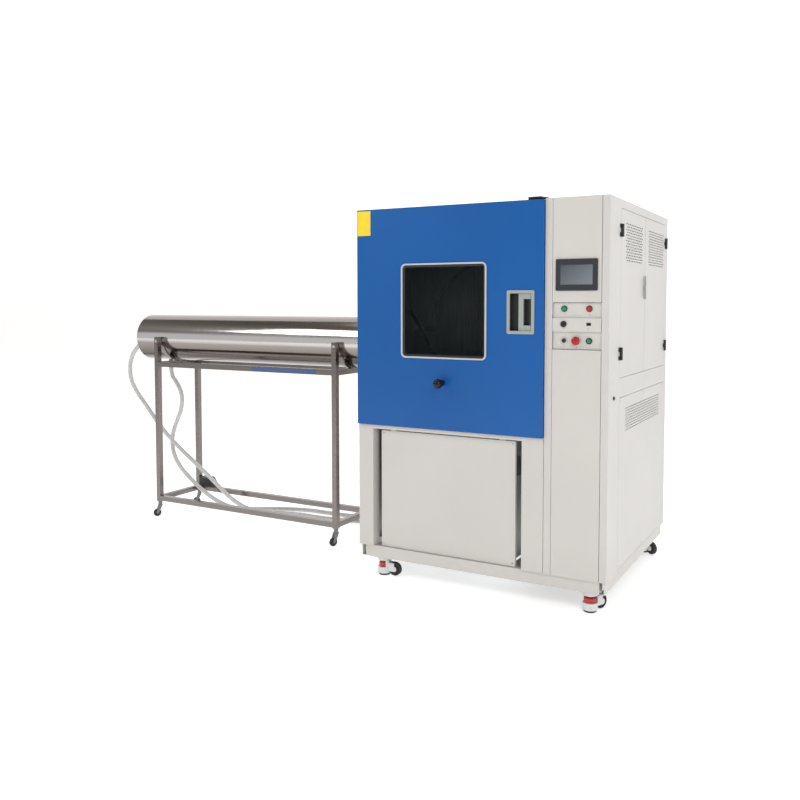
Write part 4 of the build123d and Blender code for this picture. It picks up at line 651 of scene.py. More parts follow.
def polish(s: Shader, base: Value | Colour, roughness: float, wave: float) -> bpy.types.Material:
    """Ends a material as mirror polished steel, with faint waves and lap marks along x.

    Args:
        s: Material to end.
        base: Colour of the metal, even or changing over its surface.
        roughness: Roughness between the lap marks.
        wave: Strength of the waves.

    Returns:
        The material.
    """
    lap = s.noise(s.moved(scale=(2.0, 90.0, 90.0)), 1.0, 3.0)
    swell = s.noise(s.moved(scale=(1.5, 9.0, 9.0)), 1.0, 1.0)
    rough = roughness + lap.ramp(0.35, 0.8) * 0.10
    relief = s.bump(lap, 0.03, 0.0003, s.bump(swell, wave, 0.003))
    return s.surface(Base_Color=base, Metallic=1.0, Roughness=rough, Normal=relief)


@dataclass(frozen=True)
class Polished:
    """Mirror polished stainless steel of one colour."""

    name: str
    colour: Colour
    roughness: float
    wave: float = 0.10

    def make(self) -> bpy.types.Material:
        """Makes the metal."""
        return polish(Shader(self.name), self.colour, self.roughness, self.wave)


@dataclass(frozen=True)
class CastPlastic:
    """Moulded plastic or lacquered casting with a fine grain."""

    name: str
    colour: Colour
    roughness: float = 0.45
    grain: float = 0.15
    coat: float = 0.0

    def make(self) -> bpy.types.Material:
        """Makes the plastic.

        Returns:
            The material.
        """
        s = Shader(self.name)
        cloud = s.noise(s.place, 25.0, 3.0)
        base = s.mix(cloud, shade(self.colour, 0.9), shade(self.colour, 1.08))
        rough = self.roughness + (cloud - 0.5) * 0.1
        return s.surface(Base_Color=base, Roughness=rough, Coat_Weight=self.coat, Coat_Roughness=0.1,
                         Normal=s.bump(s.fine(900.0), self.grain, 0.0003))


class Finishes:
    """Every finish that is used more than once or is plain, made once."""

    def __init__(self) -> None:
        """Makes the materials."""
        self.cabinet = PowderCoat("cabinet_coat", (0.585, 0.565, 0.535)).make()
        self.side = PowderCoat("side_coat", (0.58, 0.565, 0.55)).make()
        self.steel_x = Brushed("brushed_along_x", Grain.ALONG_X).make()
        self.steel_z = Brushed("brushed_along_z", Grain.ALONG_Z).make()
        self.polished = Polished("polished_steel", (0.66, 0.64, 0.61), 0.10).make()
        # Painted dark reflection: the stand's polished stainless steel gets a far darker colour than the
        # tank's, for the dark reflections on its tubes
        self.frame_steel_painted_dark = Polished("stand_steel_painted_dark", (0.22, 0.20, 0.19), 0.22).make()
        self.zinc = Brushed("zinc_plate", Grain.ALONG_Z, (0.52, 0.52, 0.51), 0.34).make()
        self.dark_zinc = Brushed("dark_zinc", Grain.ALONG_Z, (0.20, 0.20, 0.20), 0.38).make()
        self.bolt = Brushed("bolt_steel", Grain.ALONG_X, (0.62, 0.61, 0.60), 0.25).make()
        self.die_cast = CastPlastic("die_cast_grey", (0.33, 0.36, 0.34), 0.38, 0.18, 0.1).make()
        self.black = CastPlastic("matt_black", (0.018, 0.018, 0.020), 0.42).make()
        self.gloss_black = CastPlastic("gloss_black", (0.014, 0.014, 0.016), 0.16, 0.03, 0.5).make()
        self.red = CastPlastic("signal_red", (0.40, 0.006, 0.008), 0.26, 0.05, 0.15).make()
        self.green = CastPlastic("signal_green", (0.0, 0.25, 0.11), 0.24, 0.05, 0.15).make()
        self.yellow = CastPlastic("plain_yellow", (0.87, 0.66, 0.02), 0.40, 0.06).make()
        self.blue_strip = CastPlastic("plain_blue", (0.055, 0.10, 0.24), 0.40, 0.06).make()
        self.red_print = CastPlastic("red_print", (0.30, 0.015, 0.015), 0.5, 0.0).make()
        self.seal = CastPlastic("black_seal", (0.016, 0.016, 0.017), 0.62, 0.3).make()
        self.grey_seal = CastPlastic("grey_seal", (0.10, 0.10, 0.10), 0.62, 0.3).make()
        self.tyre = CastPlastic("black_tyre", (0.020, 0.020, 0.020), 0.66, 0.4).make()
        self.tank_plastic = CastPlastic("tank_plastic", (0.55, 0.58, 0.60), 0.45, 0.1).make()


class SubAssembly:
    """A group of CAD nodes and of the pieces that are added to them."""

    def build(self, finish: Finishes, nodes: Nodes) -> Pieces:
        """Dresses the group's CAD nodes and adds its pieces.

        Args:
            finish: Finishes to use.
            nodes: CAD nodes by name.

        Returns:
            The pieces that were added.
        """
        raise NotImplementedError


def dress(nodes: Nodes, finishes: dict[str, bpy.types.Material]) -> None:
    """Puts one finish on every material slot of each named CAD node.

    Args:
        nodes: CAD nodes by name.
        finishes: Finish of each node, by the node's name.
    """
    for name, material in finishes.items():
        if not nodes[name].material_slots:
            nodes[name].data.materials.append(material)
        for slot in nodes[name].material_slots:
            slot.material = material


# Screws and bolts


@dataclass(frozen=True)
class PanScrew:
    """A domed screw head with a round recess."""

    radius: float = 5.0
    height: float = 2.6
    rim: float = 0.2
    depth: float = 0.4
    segments: int = 20

    def add(self, heads: Surface, frame: Frame) -> None:
        """Adds one head, whose height falls from crown to rim as a quarter ellipse.

        Args:
            heads: Surface that the head is added to.
            frame: Centre and direction of the head.
        """
        angle = np.linspace(0.0, math.pi / 2, 6)[1:-1]
        crown = self.height - self.rim
        dome = [(self.radius * math.cos(a), self.rim + crown * math.sin(a)) for a in angle]
        edge = [(self.radius, -self.depth), (self.radius, self.rim)]
        recess = [(self.radius * 0.34, self.height), (self.radius * 0.28, self.height * 0.45)]
        heads.turned(frame, edge + dome + recess, self.segments)


@dataclass(frozen=True)
class HexagonBolt:
    """A washer and a six-sided head with a chamfered crown."""

    radius: float = 6.0
    height: float = 4.5
    chamfer: float = 0.8
    washer: float = 1.5
    segments: int = 20

    def add(self, heads: Surface, frame: Frame) -> None:
        """Adds one washer and one head, both turned about the outward direction.

        Args:
            heads: Surface that they are added to.
            frame: Centre and direction of the bolt.
        """
        outer, bevel, inner = self.radius * 1.45, self.radius * 1.35, self.radius * 0.9
        top = self.washer
        heads.turned(frame, [(outer, -0.3), (outer, top - 0.3), (bevel, top), (inner, top)], self.segments)
        crown = (self.radius * 0.86, self.height + self.chamfer)
        heads.turned(frame, [(self.radius, top - 0.5), (self.radius, self.height), crown], 6)


# Hoses


@dataclass(frozen=True)
class HoseRubber:
    """Light grey hose with scuffs."""

    name: str = "hose_rubber"
    colour: Colour = (0.60, 0.60, 0.59)

    def make(self) -> bpy.types.Material:
        """Makes the rubber.

        Returns:
            The material.
        """
        s = Shader(self.name)
        scuff = s.noise(s.place, 60.0, 5.0)
        base = s.mix(scuff.ramp(0.35, 0.8), self.colour, shade(self.colour, 0.72))
        return s.surface(Base_Color=base, Roughness=0.34 + scuff * 0.18, Coat_Weight=0.2,
                         Coat_Roughness=0.25, Normal=s.bump(s.fine(700.0), 0.12, 0.0004))


@dataclass(frozen=True)
class HoseRun:
    """One hose: the CAD node it stands for, its length in metres and its route in millimetres."""

    node: str
    length: float
    route: tuple[Point, ...]


UPPER_HOSE = HoseRun("upper_hose", 3.071, (
    (-2117, 450, 1172), (-2190, 450, 1118), (-2232, 451, 1040), (-2246, 455, 960),
    (-2228, 458, 885), (-2178, 462, 810), (-2100, 470, 725), (-2010, 480, 615),
    (-1905, 494, 508), (-1790, 525, 402), (-1675, 558, 300), (-1575, 590, 205),
    (-1500, 620, 122), (-1425, 652, 58), (-1335, 684, 22), (-1235, 716, 15),
    (-1110, 755, 14), (-960, 775, 14), (-810, 768, 14), (-680, 785, 14),
    (-560, 820, 14), (-440, 850, 14), (-325, 868, 14), (-225, 874, 48),
    (-130, 878, 112), (-60, 880, 200), (-60, 880, 300)))

LOWER_HOSE = HoseRun("lower_hose", 2.958, (
    (-1925, 532.5, 1027), (-1925, 532.5, 947), (-1868, 532, 892), (-1824, 535, 815),
    (-1835, 540, 715), (-1895, 545, 615), (-1945, 551, 510), (-1950, 560, 400),
    (-1900, 574, 295), (-1815, 592, 212), (-1730, 616, 135), (-1650, 650, 70),
    (-1560, 680, 26), (-1465, 708, 14), (-1355, 755, 14), (-1240, 815, 14),
    (-1125, 868, 14), (-990, 902, 14), (-840, 897, 14), (-690, 905, 14),
    (-540, 935, 14), (-425, 955, 14), (-325, 970, 14), (-225, 980, 48),
    (-130, 987, 112), (-60, 990, 200), (-60, 990, 300)))


@dataclass
class Hoses(SubAssembly):
    """The two hoses between the tank and the cabinet, with the cuffs and clamps at their ends."""

    runs: tuple[HoseRun, ...] = (UPPER_HOSE, LOWER_HOSE)
    radius: float = 14.0
    cuff: float = 24.0
    band: Span = (7.0, 16.0)
    screw_house: tuple[float, float] = (16.0, 11.0)
    segments: int = 40

    def build(self, finish: Finishes, nodes: Nodes) -> Pieces:
        """Draws both hoses as smooth curves, then their cuffs and clamps.

        Args:
            finish: Finishes to use.
            nodes: CAD nodes by name; not used, so none of them is dressed here.

        Returns:
            The hoses, cuffs and clamps.
        """
        rubber = HoseRubber().make()
        pieces = [self._hose(run, rubber) for run in self.runs]
        for number, run in enumerate(self.runs):
            first, second, last = (np.array(run.route[index], float) for index in (0, 1, -1))
            into_tank = (first - second) / np.linalg.norm(first - second)
            into_cabinet = np.array([0.0, 0.0, 1.0])
            for name, mouth, into in (("start", first, into_tank), ("finish", last, into_cabinet)):
                pieces += self._end(f"hose_{name}_{number}", mouth, into, rubber, finish.bolt)
        return pieces

    def _hose(self, run: HoseRun, rubber: bpy.types.Material) -> bpy.types.Object:
        """A round curve of one spline with the route's points as its control points.

        Args:
            run: The hose.
            rubber: Its finish.

        Returns:
            The curve, which stands for its CAD node.
        """
        name = run.node + "_line"
        data = bpy.data.curves.new(name, "CURVE")
        data.dimensions = "3D"
        data.bevel_depth = self.radius * MM
        data.bevel_resolution = 6
        data.resolution_u = 8
        data.use_fill_caps = True
        spline = data.splines.new("NURBS")
        spline.points.add(len(run.route) - 1)
        for point, place in zip(spline.points, run.route):
            point.co = (*Place.at(*place), 1.0)
        spline.order_u = 3
        spline.use_endpoint_u = True
        data.materials.append(rubber)
        hose = linked(name, data)
        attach(hose, "cabinet")
        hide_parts(run.node)
        tuple(Place.at(*run.route[0]))
        return hose

    def _end(self, name: str, mouth: np.ndarray, into: np.ndarray, rubber: bpy.types.Material,
             steel: bpy.types.Material) -> Pieces:
        """The cuff pushed over a port, its band clamp and the clamp's screw housing.

        Cuff and band are profiles of (radius, depth into the port) turned about the port's axis.

        Args:
            name: Name for the pieces.
            mouth: Mouth of the port, where the route ends.
            into: Direction from the mouth into the port.
            rubber: Finish of the cuff.
            steel: Finish of the clamp.

        Returns:
            The cuff and the clamp.
        """
        r, cuff = self.radius, self.cuff
        side = np.cross(into, (0.0, 1.0, 0.0))
        side = side / np.linalg.norm(side)
        other = np.cross(into, side)
        port = Frame(mouth, side, other, into)
        sleeve = [(r, -1.0), (r, 2.0), (r + 0.2, cuff * 0.5),
                  (r, cuff - 2.0), (r - 0.8, cuff), (r - 2.0, cuff)]
        start, end = self.band
        section = [(r - 0.2, start), (r + 1.0, start), (r + 1.3, start + 0.6), (r + 1.3, end - 0.6),
                   (r + 1.0, end), (r - 0.2, end)]
        clamp = Surface().turned(port, section, self.segments, ring=True)
        house = Frame(mouth + into * (start + end) / 2 - other * (r + 0.8), side, into, -other)
        clamp.plate(house, self.screw_house, 2.0, [(0, 0), (0, 4.0), (1.0, 5.5), (3.0, 6.0)])
        return [Surface().turned(port, sleeve, self.segments).piece(name + "_cuff", "cabinet", rubber),
                clamp.piece(name + "_clamp", "cabinet", steel)]


# Door of the test space


@dataclass(frozen=True)
class DoorShellFinish:
    """Blue enamel on the shell, bare steel on the hinge leaves at its left edge."""

    hinge_edge: float = 1.9
    deep: Colour = (0.0030, 0.088, 0.320)
    pale: Colour = (0.0045, 0.100, 0.355)
    steel: Colour = (0.55, 0.55, 0.55)
    roughness: float = 0.36

    def make(self) -> bpy.types.Material:
        """Makes the finish.

        Returns:
            The material.
        """
        s = Shader("door_shell_finish")
        hinge = s.split(s.place)[0].below(Place.x(self.hinge_edge))
        enamel = s.mix(s.noise(s.place, 1.3, 2.0).ramp(0.35, 0.7), self.deep, self.pale)
        rough = self.roughness + (s.noise(s.place, 40.0, 4.0) - 0.5) * 0.06 + hinge * 0.05
        wave = s.bump(s.noise(s.place, 6.0, 1.0), 0.04, 0.004)
        return s.surface(Base_Color=s.mix(hinge, enamel, self.steel), Metallic=hinge, Roughness=rough,
                         Specular_IOR_Level=0.32, Coat_Weight=0.08, Coat_Roughness=0.2,
                         Normal=s.bump(s.fine(260.0), 0.015, 0.0004, wave))


@dataclass(frozen=True)
class WindowTrimFinish:
    """Pale grey rim at the front, matt black tunnel behind the door's face."""

    door_face: float
    rim: Colour = (0.50, 0.53, 0.54)
    tunnel: Colour = (0.014, 0.014, 0.015)

    def make(self) -> bpy.types.Material:
        """Makes the finish.

        Returns:
            The material.
        """
        s = Shader("window_trim_finish")
        inside = s.split(s.place)[1].above(Place.y(self.door_face + 1.0))
        return s.surface(Base_Color=s.mix(inside, self.rim, self.tunnel), Roughness=0.38 + inside * 0.2,
                         Normal=s.bump(s.fine(700.0), 0.08, 0.0003))


@dataclass(frozen=True)
class HandleBezelFinish:
    """Grey die-cast frame whose cup is dark inside."""

    door_face: float
    casting: Colour = (0.33, 0.36, 0.34)
    cup: Colour = (0.018, 0.020, 0.020)

    def make(self) -> bpy.types.Material:
        """Makes the finish.

        Returns:
            The material.
        """
        s = Shader("handle_bezel_finish")
        depth = s.split(s.place)[1]
        inside = depth.ramp(Place.y(self.door_face - 1.0), Place.y(self.door_face + 5.0))
        fine = s.fine(900.0)
        return s.surface(Base_Color=s.mix(inside, self.casting, self.cup), Roughness=0.40 + fine * 0.05,
                         Coat_Weight=0.1, Normal=s.bump(fine, 0.15, 0.0003))


@dataclass(frozen=True)
class WiperFinish:
    """Black ball knob and blade, plated shaft, collar and arm."""

    plated: Span = (-41.0, 59.0)
    black: Colour = (0.004, 0.004, 0.0045)
    steel: Colour = (0.30, 0.30, 0.30)

    def make(self) -> bpy.types.Material:
        """Makes the finish.

        Returns:
            The material.
        """
        s = Shader("wiper_finish")
        metal = s.split(s.place)[1].between(Place.y(self.plated[0]), Place.y(self.plated[1]))
        fine = s.fine(800.0)
        return s.surface(Base_Color=s.mix(metal, self.black, self.steel), Metallic=metal,
                         Roughness=0.16 + fine * 0.04, Specular_IOR_Level=0.35,
                         Normal=s.bump(fine, 0.06, 0.0003))


@dataclass(frozen=True)
class DarkGlass:
    """Double glazing seen against an unlit test space: dark body, clear gloss."""

    body: Colour = (0.004, 0.008, 0.008)
    clearness: float = 0.26

    def make(self) -> bpy.types.Material:
        """Makes the glass.

        Returns:
            The material.
        """
        s = Shader("dark_glass")
        smear = s.noise(s.place, 5.0, 4.0)
        return s.surface(Base_Color=self.body, Roughness=0.03 + smear.ramp(0.4, 0.8) * 0.06,
                         Alpha=self.clearness, Specular_IOR_Level=0.22)


@dataclass
class Door(SubAssembly):
    """The test space door: enamel, seal round the glass, plain plate and the hand wiper."""

    face: float = -14.0
    window: tuple[float, float] = (509.5, 1409.0)
    glass: float = 460.0
    glass_corner: float = 18.0
    plate_x: Span = (5.0, 85.0)
    plate_z: Span = (1798.0, 1925.0)

    def build(self, finish: Finishes, nodes: Nodes) -> Pieces:
        """Dresses the door's nodes and adds its thin pieces.

        Args:
            finish: Finishes to use.
            nodes: CAD nodes by name.

        Returns:
            The window's seal and the yellow plate.
        """
        dress(nodes, {
            "door_shell": DoorShellFinish().make(),
            "door_liner": finish.steel_z,
            "door_gasket": finish.grey_seal,
            "window_trim": WindowTrimFinish(self.face).make(),
            "window_panes": DarkGlass().make(),
            "handle_bezel": HandleBezelFinish(self.face).make(),
            "handle_grip": finish.die_cast,
            "latch_tongue": finish.zinc,
            "window_wiper": WiperFinish().make()})
        return [self._seal(finish.seal), self._plate(finish.yellow)]

    def _seal(self, rubber: bpy.types.Material) -> bpy.types.Object:
        """Black bead between the rim and the glass: a square ring of a rounded section.

        Args:
            rubber: Finish of the bead.

        Returns:
            The bead.
        """
        frame = Facing.FRONT.frame(self.window[0], self.face + 4.0, self.window[1])
        section = [(0.2, -SUNK), (0.2, 4.6), (1.6, 5.6), (4.0, 5.2),
                   (8.0, 2.6), (10.0, 0.8), (10.0, -SUNK)]
        ring = Surface().plate(frame, (self.glass, self.glass), self.glass_corner, section, hollow=True)
        return ring.piece("window_seal", "door", rubber)

    def _plate(self, yellow: bpy.types.Material) -> bpy.types.Object:
        """Bare yellow plate near the door's upper left corner.

        Args:
            yellow: Finish of the plate.

        Returns:
            The plate.
        """
        (left, right), (bottom, top) = self.plate_x, self.plate_z
        frame = Facing.FRONT.frame((left + right) / 2, self.face, (bottom + top) / 2)
        steps = [(0, -SUNK), (0, 0.5), (0.3, 0.8), (2.0, 0.8)]
        plate = Surface().plate(frame, (right - left, top - bottom), 2.0, steps)
        return plate.piece("yellow_plate", "door", yellow)


# Control column


@dataclass(frozen=True)
class ScreenFinish:
    """Dark bezel and the glass of a dim grey display, with a painted sheen that is paler to its lower right.
    """

    centre: tuple[float, float]
    glass: tuple[float, float]
    glass_front: float = -5.5
    bezel: Colour = (0.020, 0.022, 0.027)
    # Ends of the painted sheen across the unlit screen's glass
    dim: Colour = (0.055, 0.066, 0.078)
    pale: Colour = (0.20, 0.225, 0.25)

    def make(self) -> bpy.types.Material:
        """Makes the finish.

        Returns:
            The material.
        """
        s = Shader("operator_screen_finish")
        x, y, z = s.from_cabinet(*self.centre)
        half_x, half_z = (side * MM / 2 for side in self.glass)
        glass = abs(x).below(half_x) * abs(z).below(half_z) * y.below(self.glass_front * MM)
        # Painted sheen: a straight gradient from dim to pale across the glass
        painted_sheen = s.mix((x * 3.0 - z * 4.0 + 0.5).limited(), self.dim, self.pale)
        grain = s.bump(s.fine(900.0) * (1 - glass), 0.12, 0.0003)
        return s.surface(Base_Color=s.mix(glass, self.bezel, painted_sheen), Roughness=0.40 - glass * 0.26,
                         Coat_Weight=0.2, Coat_Roughness=0.05, Normal=grain)


@dataclass(frozen=True)
class Spot:
    """A round patch on a front face, in millimetres from the cabinet's left face, front and floor."""

    x: float
    z: float
    radius: float
    back: float

    def mask(self, place: tuple[Value, Value, Value]) -> Value:
        """One inside the circle and in front of the patch's back.

        Args:
            place: Coordinates in metres from the cabinet.

        Returns:
            The mask.
        """
        x, y, z = place
        distance = ((x - self.x * MM) ** 2.0 + (z - self.z * MM) ** 2.0).root()
        return distance.below(self.radius * MM) * y.below(self.back * MM)


@dataclass(frozen=True)
class ControlFittingsFinish:
    """Black collars, a green and a red lens, and a bright ring on the start button."""

    green_lens: Spot = Spot(1135.0, 1423.0, 11.2, 4.9)
    red_lens: Spot = Spot(1255.0, 1423.0, 11.2, 4.9)
    bright_ring: Spot = Spot(1135.0, 1275.0, 15.0, 9.9)
    black: Colour = (0.016, 0.016, 0.018)
    green: Colour = (0.0, 0.26, 0.11)
    red: Colour = (0.50, 0.006, 0.010)
    steel: Colour = (0.60, 0.60, 0.60)

    def make(self) -> bpy.types.Material:
        """Makes the finish.

        Returns:
            The material.
        """
        s = Shader("control_fittings_finish")
        place = s.from_cabinet()
        green, red = self.green_lens.mask(place), self.red_lens.mask(place)
        bright = self.bright_ring.mask(place)
        base = s.mix(green, self.black, self.green)
        base = s.mix(red, base, self.red)
        base = s.mix(bright, base, self.steel)
        return s.surface(Base_Color=base, Metallic=bright, Roughness=0.36 - (green + red) * 0.2,
                         Coat_Weight=0.2, Normal=s.bump(s.fine(900.0), 0.08, 0.0003))


@dataclass
class ControlColumn(SubAssembly):
    """Operator screen, lamps, buttons and small numerals, each with its mark and its middle."""

    screen: tuple[float, float] = (1196.0, 1579.0)
    glass: tuple[float, float] = (154.0, 91.0)
    figure_height: float = 8.5
    figure_depth: float = 0.2
    figures: tuple[tuple[str, Point], ...] = (
        ("1", (1135.0, 10.0, 1396.0)), ("2", (1255.0, 10.0, 1396.0)), ("3", (1135.0, 0.0, 1330.0)),
        ("4", (1252.0, 0.0, 1330.0)), ("5", (1135.0, 10.0, 1248.0)), ("6", (1194.5, 10.0, 1244.0)),
        ("7", (1255.0, 10.0, 1248.0)))

    def build(self, finish: Finishes, nodes: Nodes) -> Pieces:
        """Dresses the column's nodes and adds the numerals.

        Args:
            finish: Finishes to use.
            nodes: CAD nodes by name.

        Returns:
            The numerals.
        """
        dress(nodes, {
            "column_fascia": finish.cabinet,
            "control_fascia": finish.cabinet,
            "operator_screen": ScreenFinish(self.screen, self.glass).make(),
            "control_fittings": ControlFittingsFinish().make(),
            "start_button": finish.gloss_black,
            "stop_button": finish.red,
            "light_button": finish.green,
            "key_switch": finish.black})
        return [self._numeral(mark, middle, finish.red_print) for mark, middle in self.figures]

    def _numeral(self, mark: str, middle: Point, print_red: bpy.types.Material) -> bpy.types.Object:
        """One small plain numeral, as thin raised print.

        Args:
            mark: The numeral.
            middle: Its middle on the face that carries it, in millimetres.
            print_red: Finish of the print.

        Returns:
            The numeral, made a mesh before its place is put into its vertices.
        """
        name = "numeral_" + mark
        text = bpy.data.curves.new(name, "FONT")
        text.body = mark
        text.size = self.figure_height * MM
        text.extrude = self.figure_depth * MM
        text.align_x = "CENTER"
        text.align_y = "CENTER"
        written = linked(name, text)
        bpy.context.view_layer.update()
        depsgraph = bpy.context.evaluated_depsgraph_get()
        mesh = bpy.data.meshes.new_from_object(written.evaluated_get(depsgraph))
        bpy.data.objects.remove(written)
        flat = np.zeros(len(mesh.vertices) * 3)
        mesh.vertices.foreach_get("co", flat)
        x, y, z = flat.reshape(-1, 3).T
        upright = np.stack([x, -z, y], axis=-1) + Place.at(middle[0], middle[1] - SUNK, middle[2])
        mesh.vertices.foreach_set("co", upright.ravel())
        mesh.materials.clear()
        mesh.materials.append(print_red)
        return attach(linked(name, mesh), "cabinet")


# Casing


@dataclass(frozen=True)
class CabinetFrameFinish:
    """Cabinet coat above, plated steel on the caster plates below the base."""

    base_bottom: float = 99.9
    low: Colour = (0.567, 0.548, 0.519)
    high: Colour = (0.597, 0.576, 0.546)
    dirt: Colour = (0.36, 0.33, 0.29)
    steel: Colour = (0.50, 0.50, 0.49)

    def make(self) -> bpy.types.Material:
        """Makes the finish.

        Returns:
            The material.
        """
        s = Shader("cabinet_frame_finish")
        plated = s.split(s.place)[2].below(Place.z(self.base_bottom))
        coat = s.mix(s.dust(0.1), s.cloudy(self.low, self.high), self.dirt)
        return s.surface(Base_Color=s.mix(plated, coat, self.steel), Metallic=plated,
                         Roughness=0.42 - plated * 0.1, Coat_Weight=0.1, Coat_Roughness=0.18,
                         Normal=s.bump(s.fine(420.0), 0.10, 0.0006))


@dataclass(frozen=True)
class HingeFinish:
    """Bright hinges on the left of the cabinet's middle, black ones on the right wall."""

    middle: float = 675.0
    steel: Colour = (0.58, 0.58, 0.58)
    black: Colour = (0.018, 0.018, 0.02)

    def make(self) -> bpy.types.Material:
        """Makes the finish.

        Returns:
            The material.
        """
        s = Shader("hinge_finish")
        right = s.from_cabinet(self.middle)[0].above(0.0)
        lines = s.noise(s.moved(scale=(400.0, 400.0, 4.0)), 1.0)
        return s.surface(Base_Color=s.mix(right, self.steel, self.black), Metallic=1 - right,
                         Roughness=0.30 + lines * 0.1, Normal=s.bump(lines, 0.08, 0.0003))


@dataclass(frozen=True)
class SideDoorFinish:
    """Wall coat on the leaf, black on the hinge knuckles that stand out from the wall."""

    wall: float
    low: Colour = (0.563, 0.548, 0.533)
    high: Colour = (0.592, 0.576, 0.561)
    black: Colour = (0.018, 0.018, 0.02)

    def make(self) -> bpy.types.Material:
        """Makes the finish.

        Returns:
            The material.
        """
        s = Shader("side_door_finish")
        knuckle = s.split(s.place)[0].above(Place.x(self.wall + 0.05))
        coat = s.cloudy(self.low, self.high)
        return s.surface(Base_Color=s.mix(knuckle, coat, self.black), Roughness=0.42, Coat_Weight=0.12,
                         Coat_Roughness=0.18, Normal=s.bump(s.fine(420.0), 0.10, 0.0006))


@dataclass(frozen=True)
class Vent:
    """Painted shade of the outer slots of a side door's vent: dark inlays in line with the slots that the
    CAD leaf has cut out.

    Rows count down from the first cut row, at the height top. Columns count back from the first
    cut column, whose front end is at start. Every second row has one slot less and stands half a
    pitch further back.
    """

    body: str
    start: float
    columns: tuple[int, int]
    rows: tuple[int, int] = (-4, 10)
    cut_columns: int = 6
    top: float = 1776.0
    slot: tuple[float, float] = (22.0, 5.0)
    slot_corner: float = 0.8
    pitch: tuple[float, float] = (33.0, 13.5)
    stand_out: float = 0.12

    def piece(self, wall: float, dark: bpy.types.Material) -> bpy.types.Object:
        """Lays a thin dark inlay of painted shade, for the shade inside a slot, where each outer slot is.

        Args:
            wall: Millimetres from the cabinet's left face to the leaf's outside.
            dark: Finish of the inlays of painted shade.

        Returns:
            The inlays of painted shade as one piece that rides on the leaf.
        """
        painted_shade_inlays = Surface()
        for row in range(*self.rows):
            odd = row % 2
            for column in range(self.columns[0], self.columns[1] - odd):
                if row >= 0 and 0 <= column < self.cut_columns - odd:
                    continue
                y = self.start + self.slot[0] / 2 + (column + odd / 2) * self.pitch[0]
                place = Facing.RIGHT.frame(wall, y, self.top - row * self.pitch[1])
                painted_shade_inlays.plate(place, self.slot, self.slot_corner, [(0, -SUNK), (0, self.stand_out)])
        # The dark inlays are painted shade where the slots' hollows would be
        return painted_shade_inlays.piece(f"{self.body}_slots", self.body, dark, None)


@dataclass
class Casing(SubAssembly):
    """Posts, covers, roof, and the right wall with its doors and hinges."""

    wall: float = 1350.0
    back: float = 1180.0
    cover_x: Span = (128.0, 889.0)
    cover_z: Span = (163.0, 780.0)
    cover_face: float = 22.0
    cover_inset: tuple[float, float] = (14.0, 16.0)
    side_screws_y: tuple[float, ...] = (203.0, 654.0, 1105.0)
    side_screws_z: tuple[float, ...] = (187.0, 982.0)
    rear_screws_x: tuple[float, ...] = (30.0, 350.0, 675.0, 1000.0, 1320.0)
    rear_screws_z: tuple[float, ...] = (180.0, 980.0, 1022.0, 1915.0)
    vents: tuple[Vent, ...] = (
        Vent("side_door_front", 340.175, (-2, 8)), Vent("side_door_rear", 725.125, (0, 11)))

    def build(self, finish: Finishes, nodes: Nodes) -> Pieces:
        """Dresses the casing's nodes and adds the screws and the vents' outer slots as dark inlays of
        painted shade.

        Args:
            finish: Finishes to use.
            nodes: CAD nodes by name.

        Returns:
            The screws and the inlays of painted shade.
        """
        leaf = SideDoorFinish(self.wall).make()
        dress(nodes, {
            "cabinet_frame": CabinetFrameFinish().make(),
            "casing_panels": finish.cabinet,
            "lower_front_cover": finish.cabinet,
            "right_side_frame": finish.side,
            "lower_side_cover": finish.side,
            "hinge_brackets": HingeFinish().make(),
            "side_door_front": leaf,
            "side_door_rear": leaf,
            "side_door_handle": finish.zinc,
            "side_lock": finish.black,
            "door_switch": finish.black})
        # The vents' outer slots are dark inlays of painted shade, not holes
        return [*self._screws(finish.bolt), *(vent.piece(self.wall, finish.seal) for vent in self.vents)]

    def _screws(self, steel: bpy.types.Material) -> Pieces:
        """Pan-head screws of the front, side and rear covers, one piece for each side.

        Args:
            steel: Finish of the heads.

        Returns:
            The three pieces.
        """
        inset_x, inset_z = self.cover_inset
        front_x = (self.cover_x[0] + inset_x, self.cover_x[1] - inset_x)
        front_z = (self.cover_z[0] + inset_z, self.cover_z[1] - inset_z)
        sides = {
            "front": [Facing.FRONT.frame(x, self.cover_face, z) for x, z in product(front_x, front_z)],
            "side": [Facing.RIGHT.frame(self.wall, y, z)
                     for y, z in product(self.side_screws_y, self.side_screws_z)],
            "rear": [Facing.BACK.frame(x, self.back, z)
                     for x, z in product(self.rear_screws_x, self.rear_screws_z)]}
        pieces = []
        for side, frames in sides.items():
            heads = Surface()
            for frame in frames:
                PanScrew().add(heads, frame)
            pieces.append(heads.piece(f"{side}_cover_screws", "cabinet", steel))
        return pieces


# Test space and machine


@dataclass(frozen=True)
class ChamberFittingsFinish:
    """Steel fittings, with a milky lens on the ceiling lamp."""

    lens: Span
    steel: Colour = (0.58, 0.58, 0.58)
    milky: Colour = (0.80, 0.80, 0.76)

    def make(self) -> bpy.types.Material:
        """Makes the finish.

        Returns:
            The material.
        """
        s = Shader("chamber_fittings_finish")
        lens = s.split(s.place)[2].between(Place.z(self.lens[0]), Place.z(self.lens[1]))
        lines = s.noise(s.moved(scale=(300.0, 300.0, 6.0)), 1.0)
        return s.surface(Base_Color=s.mix(lens, self.steel, self.milky), Metallic=1 - lens,
                         Roughness=0.3 + lines * 0.12, Normal=s.bump(lines, 0.08, 0.0004))


@dataclass
class TestSpace(SubAssembly):
    """Stainless test space with its spray arch, turntable and ceiling lamp."""

    lamp_lens: Span = (1840.0, 1875.5)

    def build(self, finish: Finishes, nodes: Nodes) -> Pieces:
        """Dresses the test space's nodes.

        Args:
            finish: Finishes to use.
            nodes: CAD nodes by name.

        Returns:
            Nothing, because no piece is added.
        """
        dress(nodes, {
            "chamber_liner": finish.steel_z,
            "chamber_fittings": ChamberFittingsFinish(self.lamp_lens).make(),
            "spray_arch": finish.polished,
            "turntable": finish.steel_x})
        return []


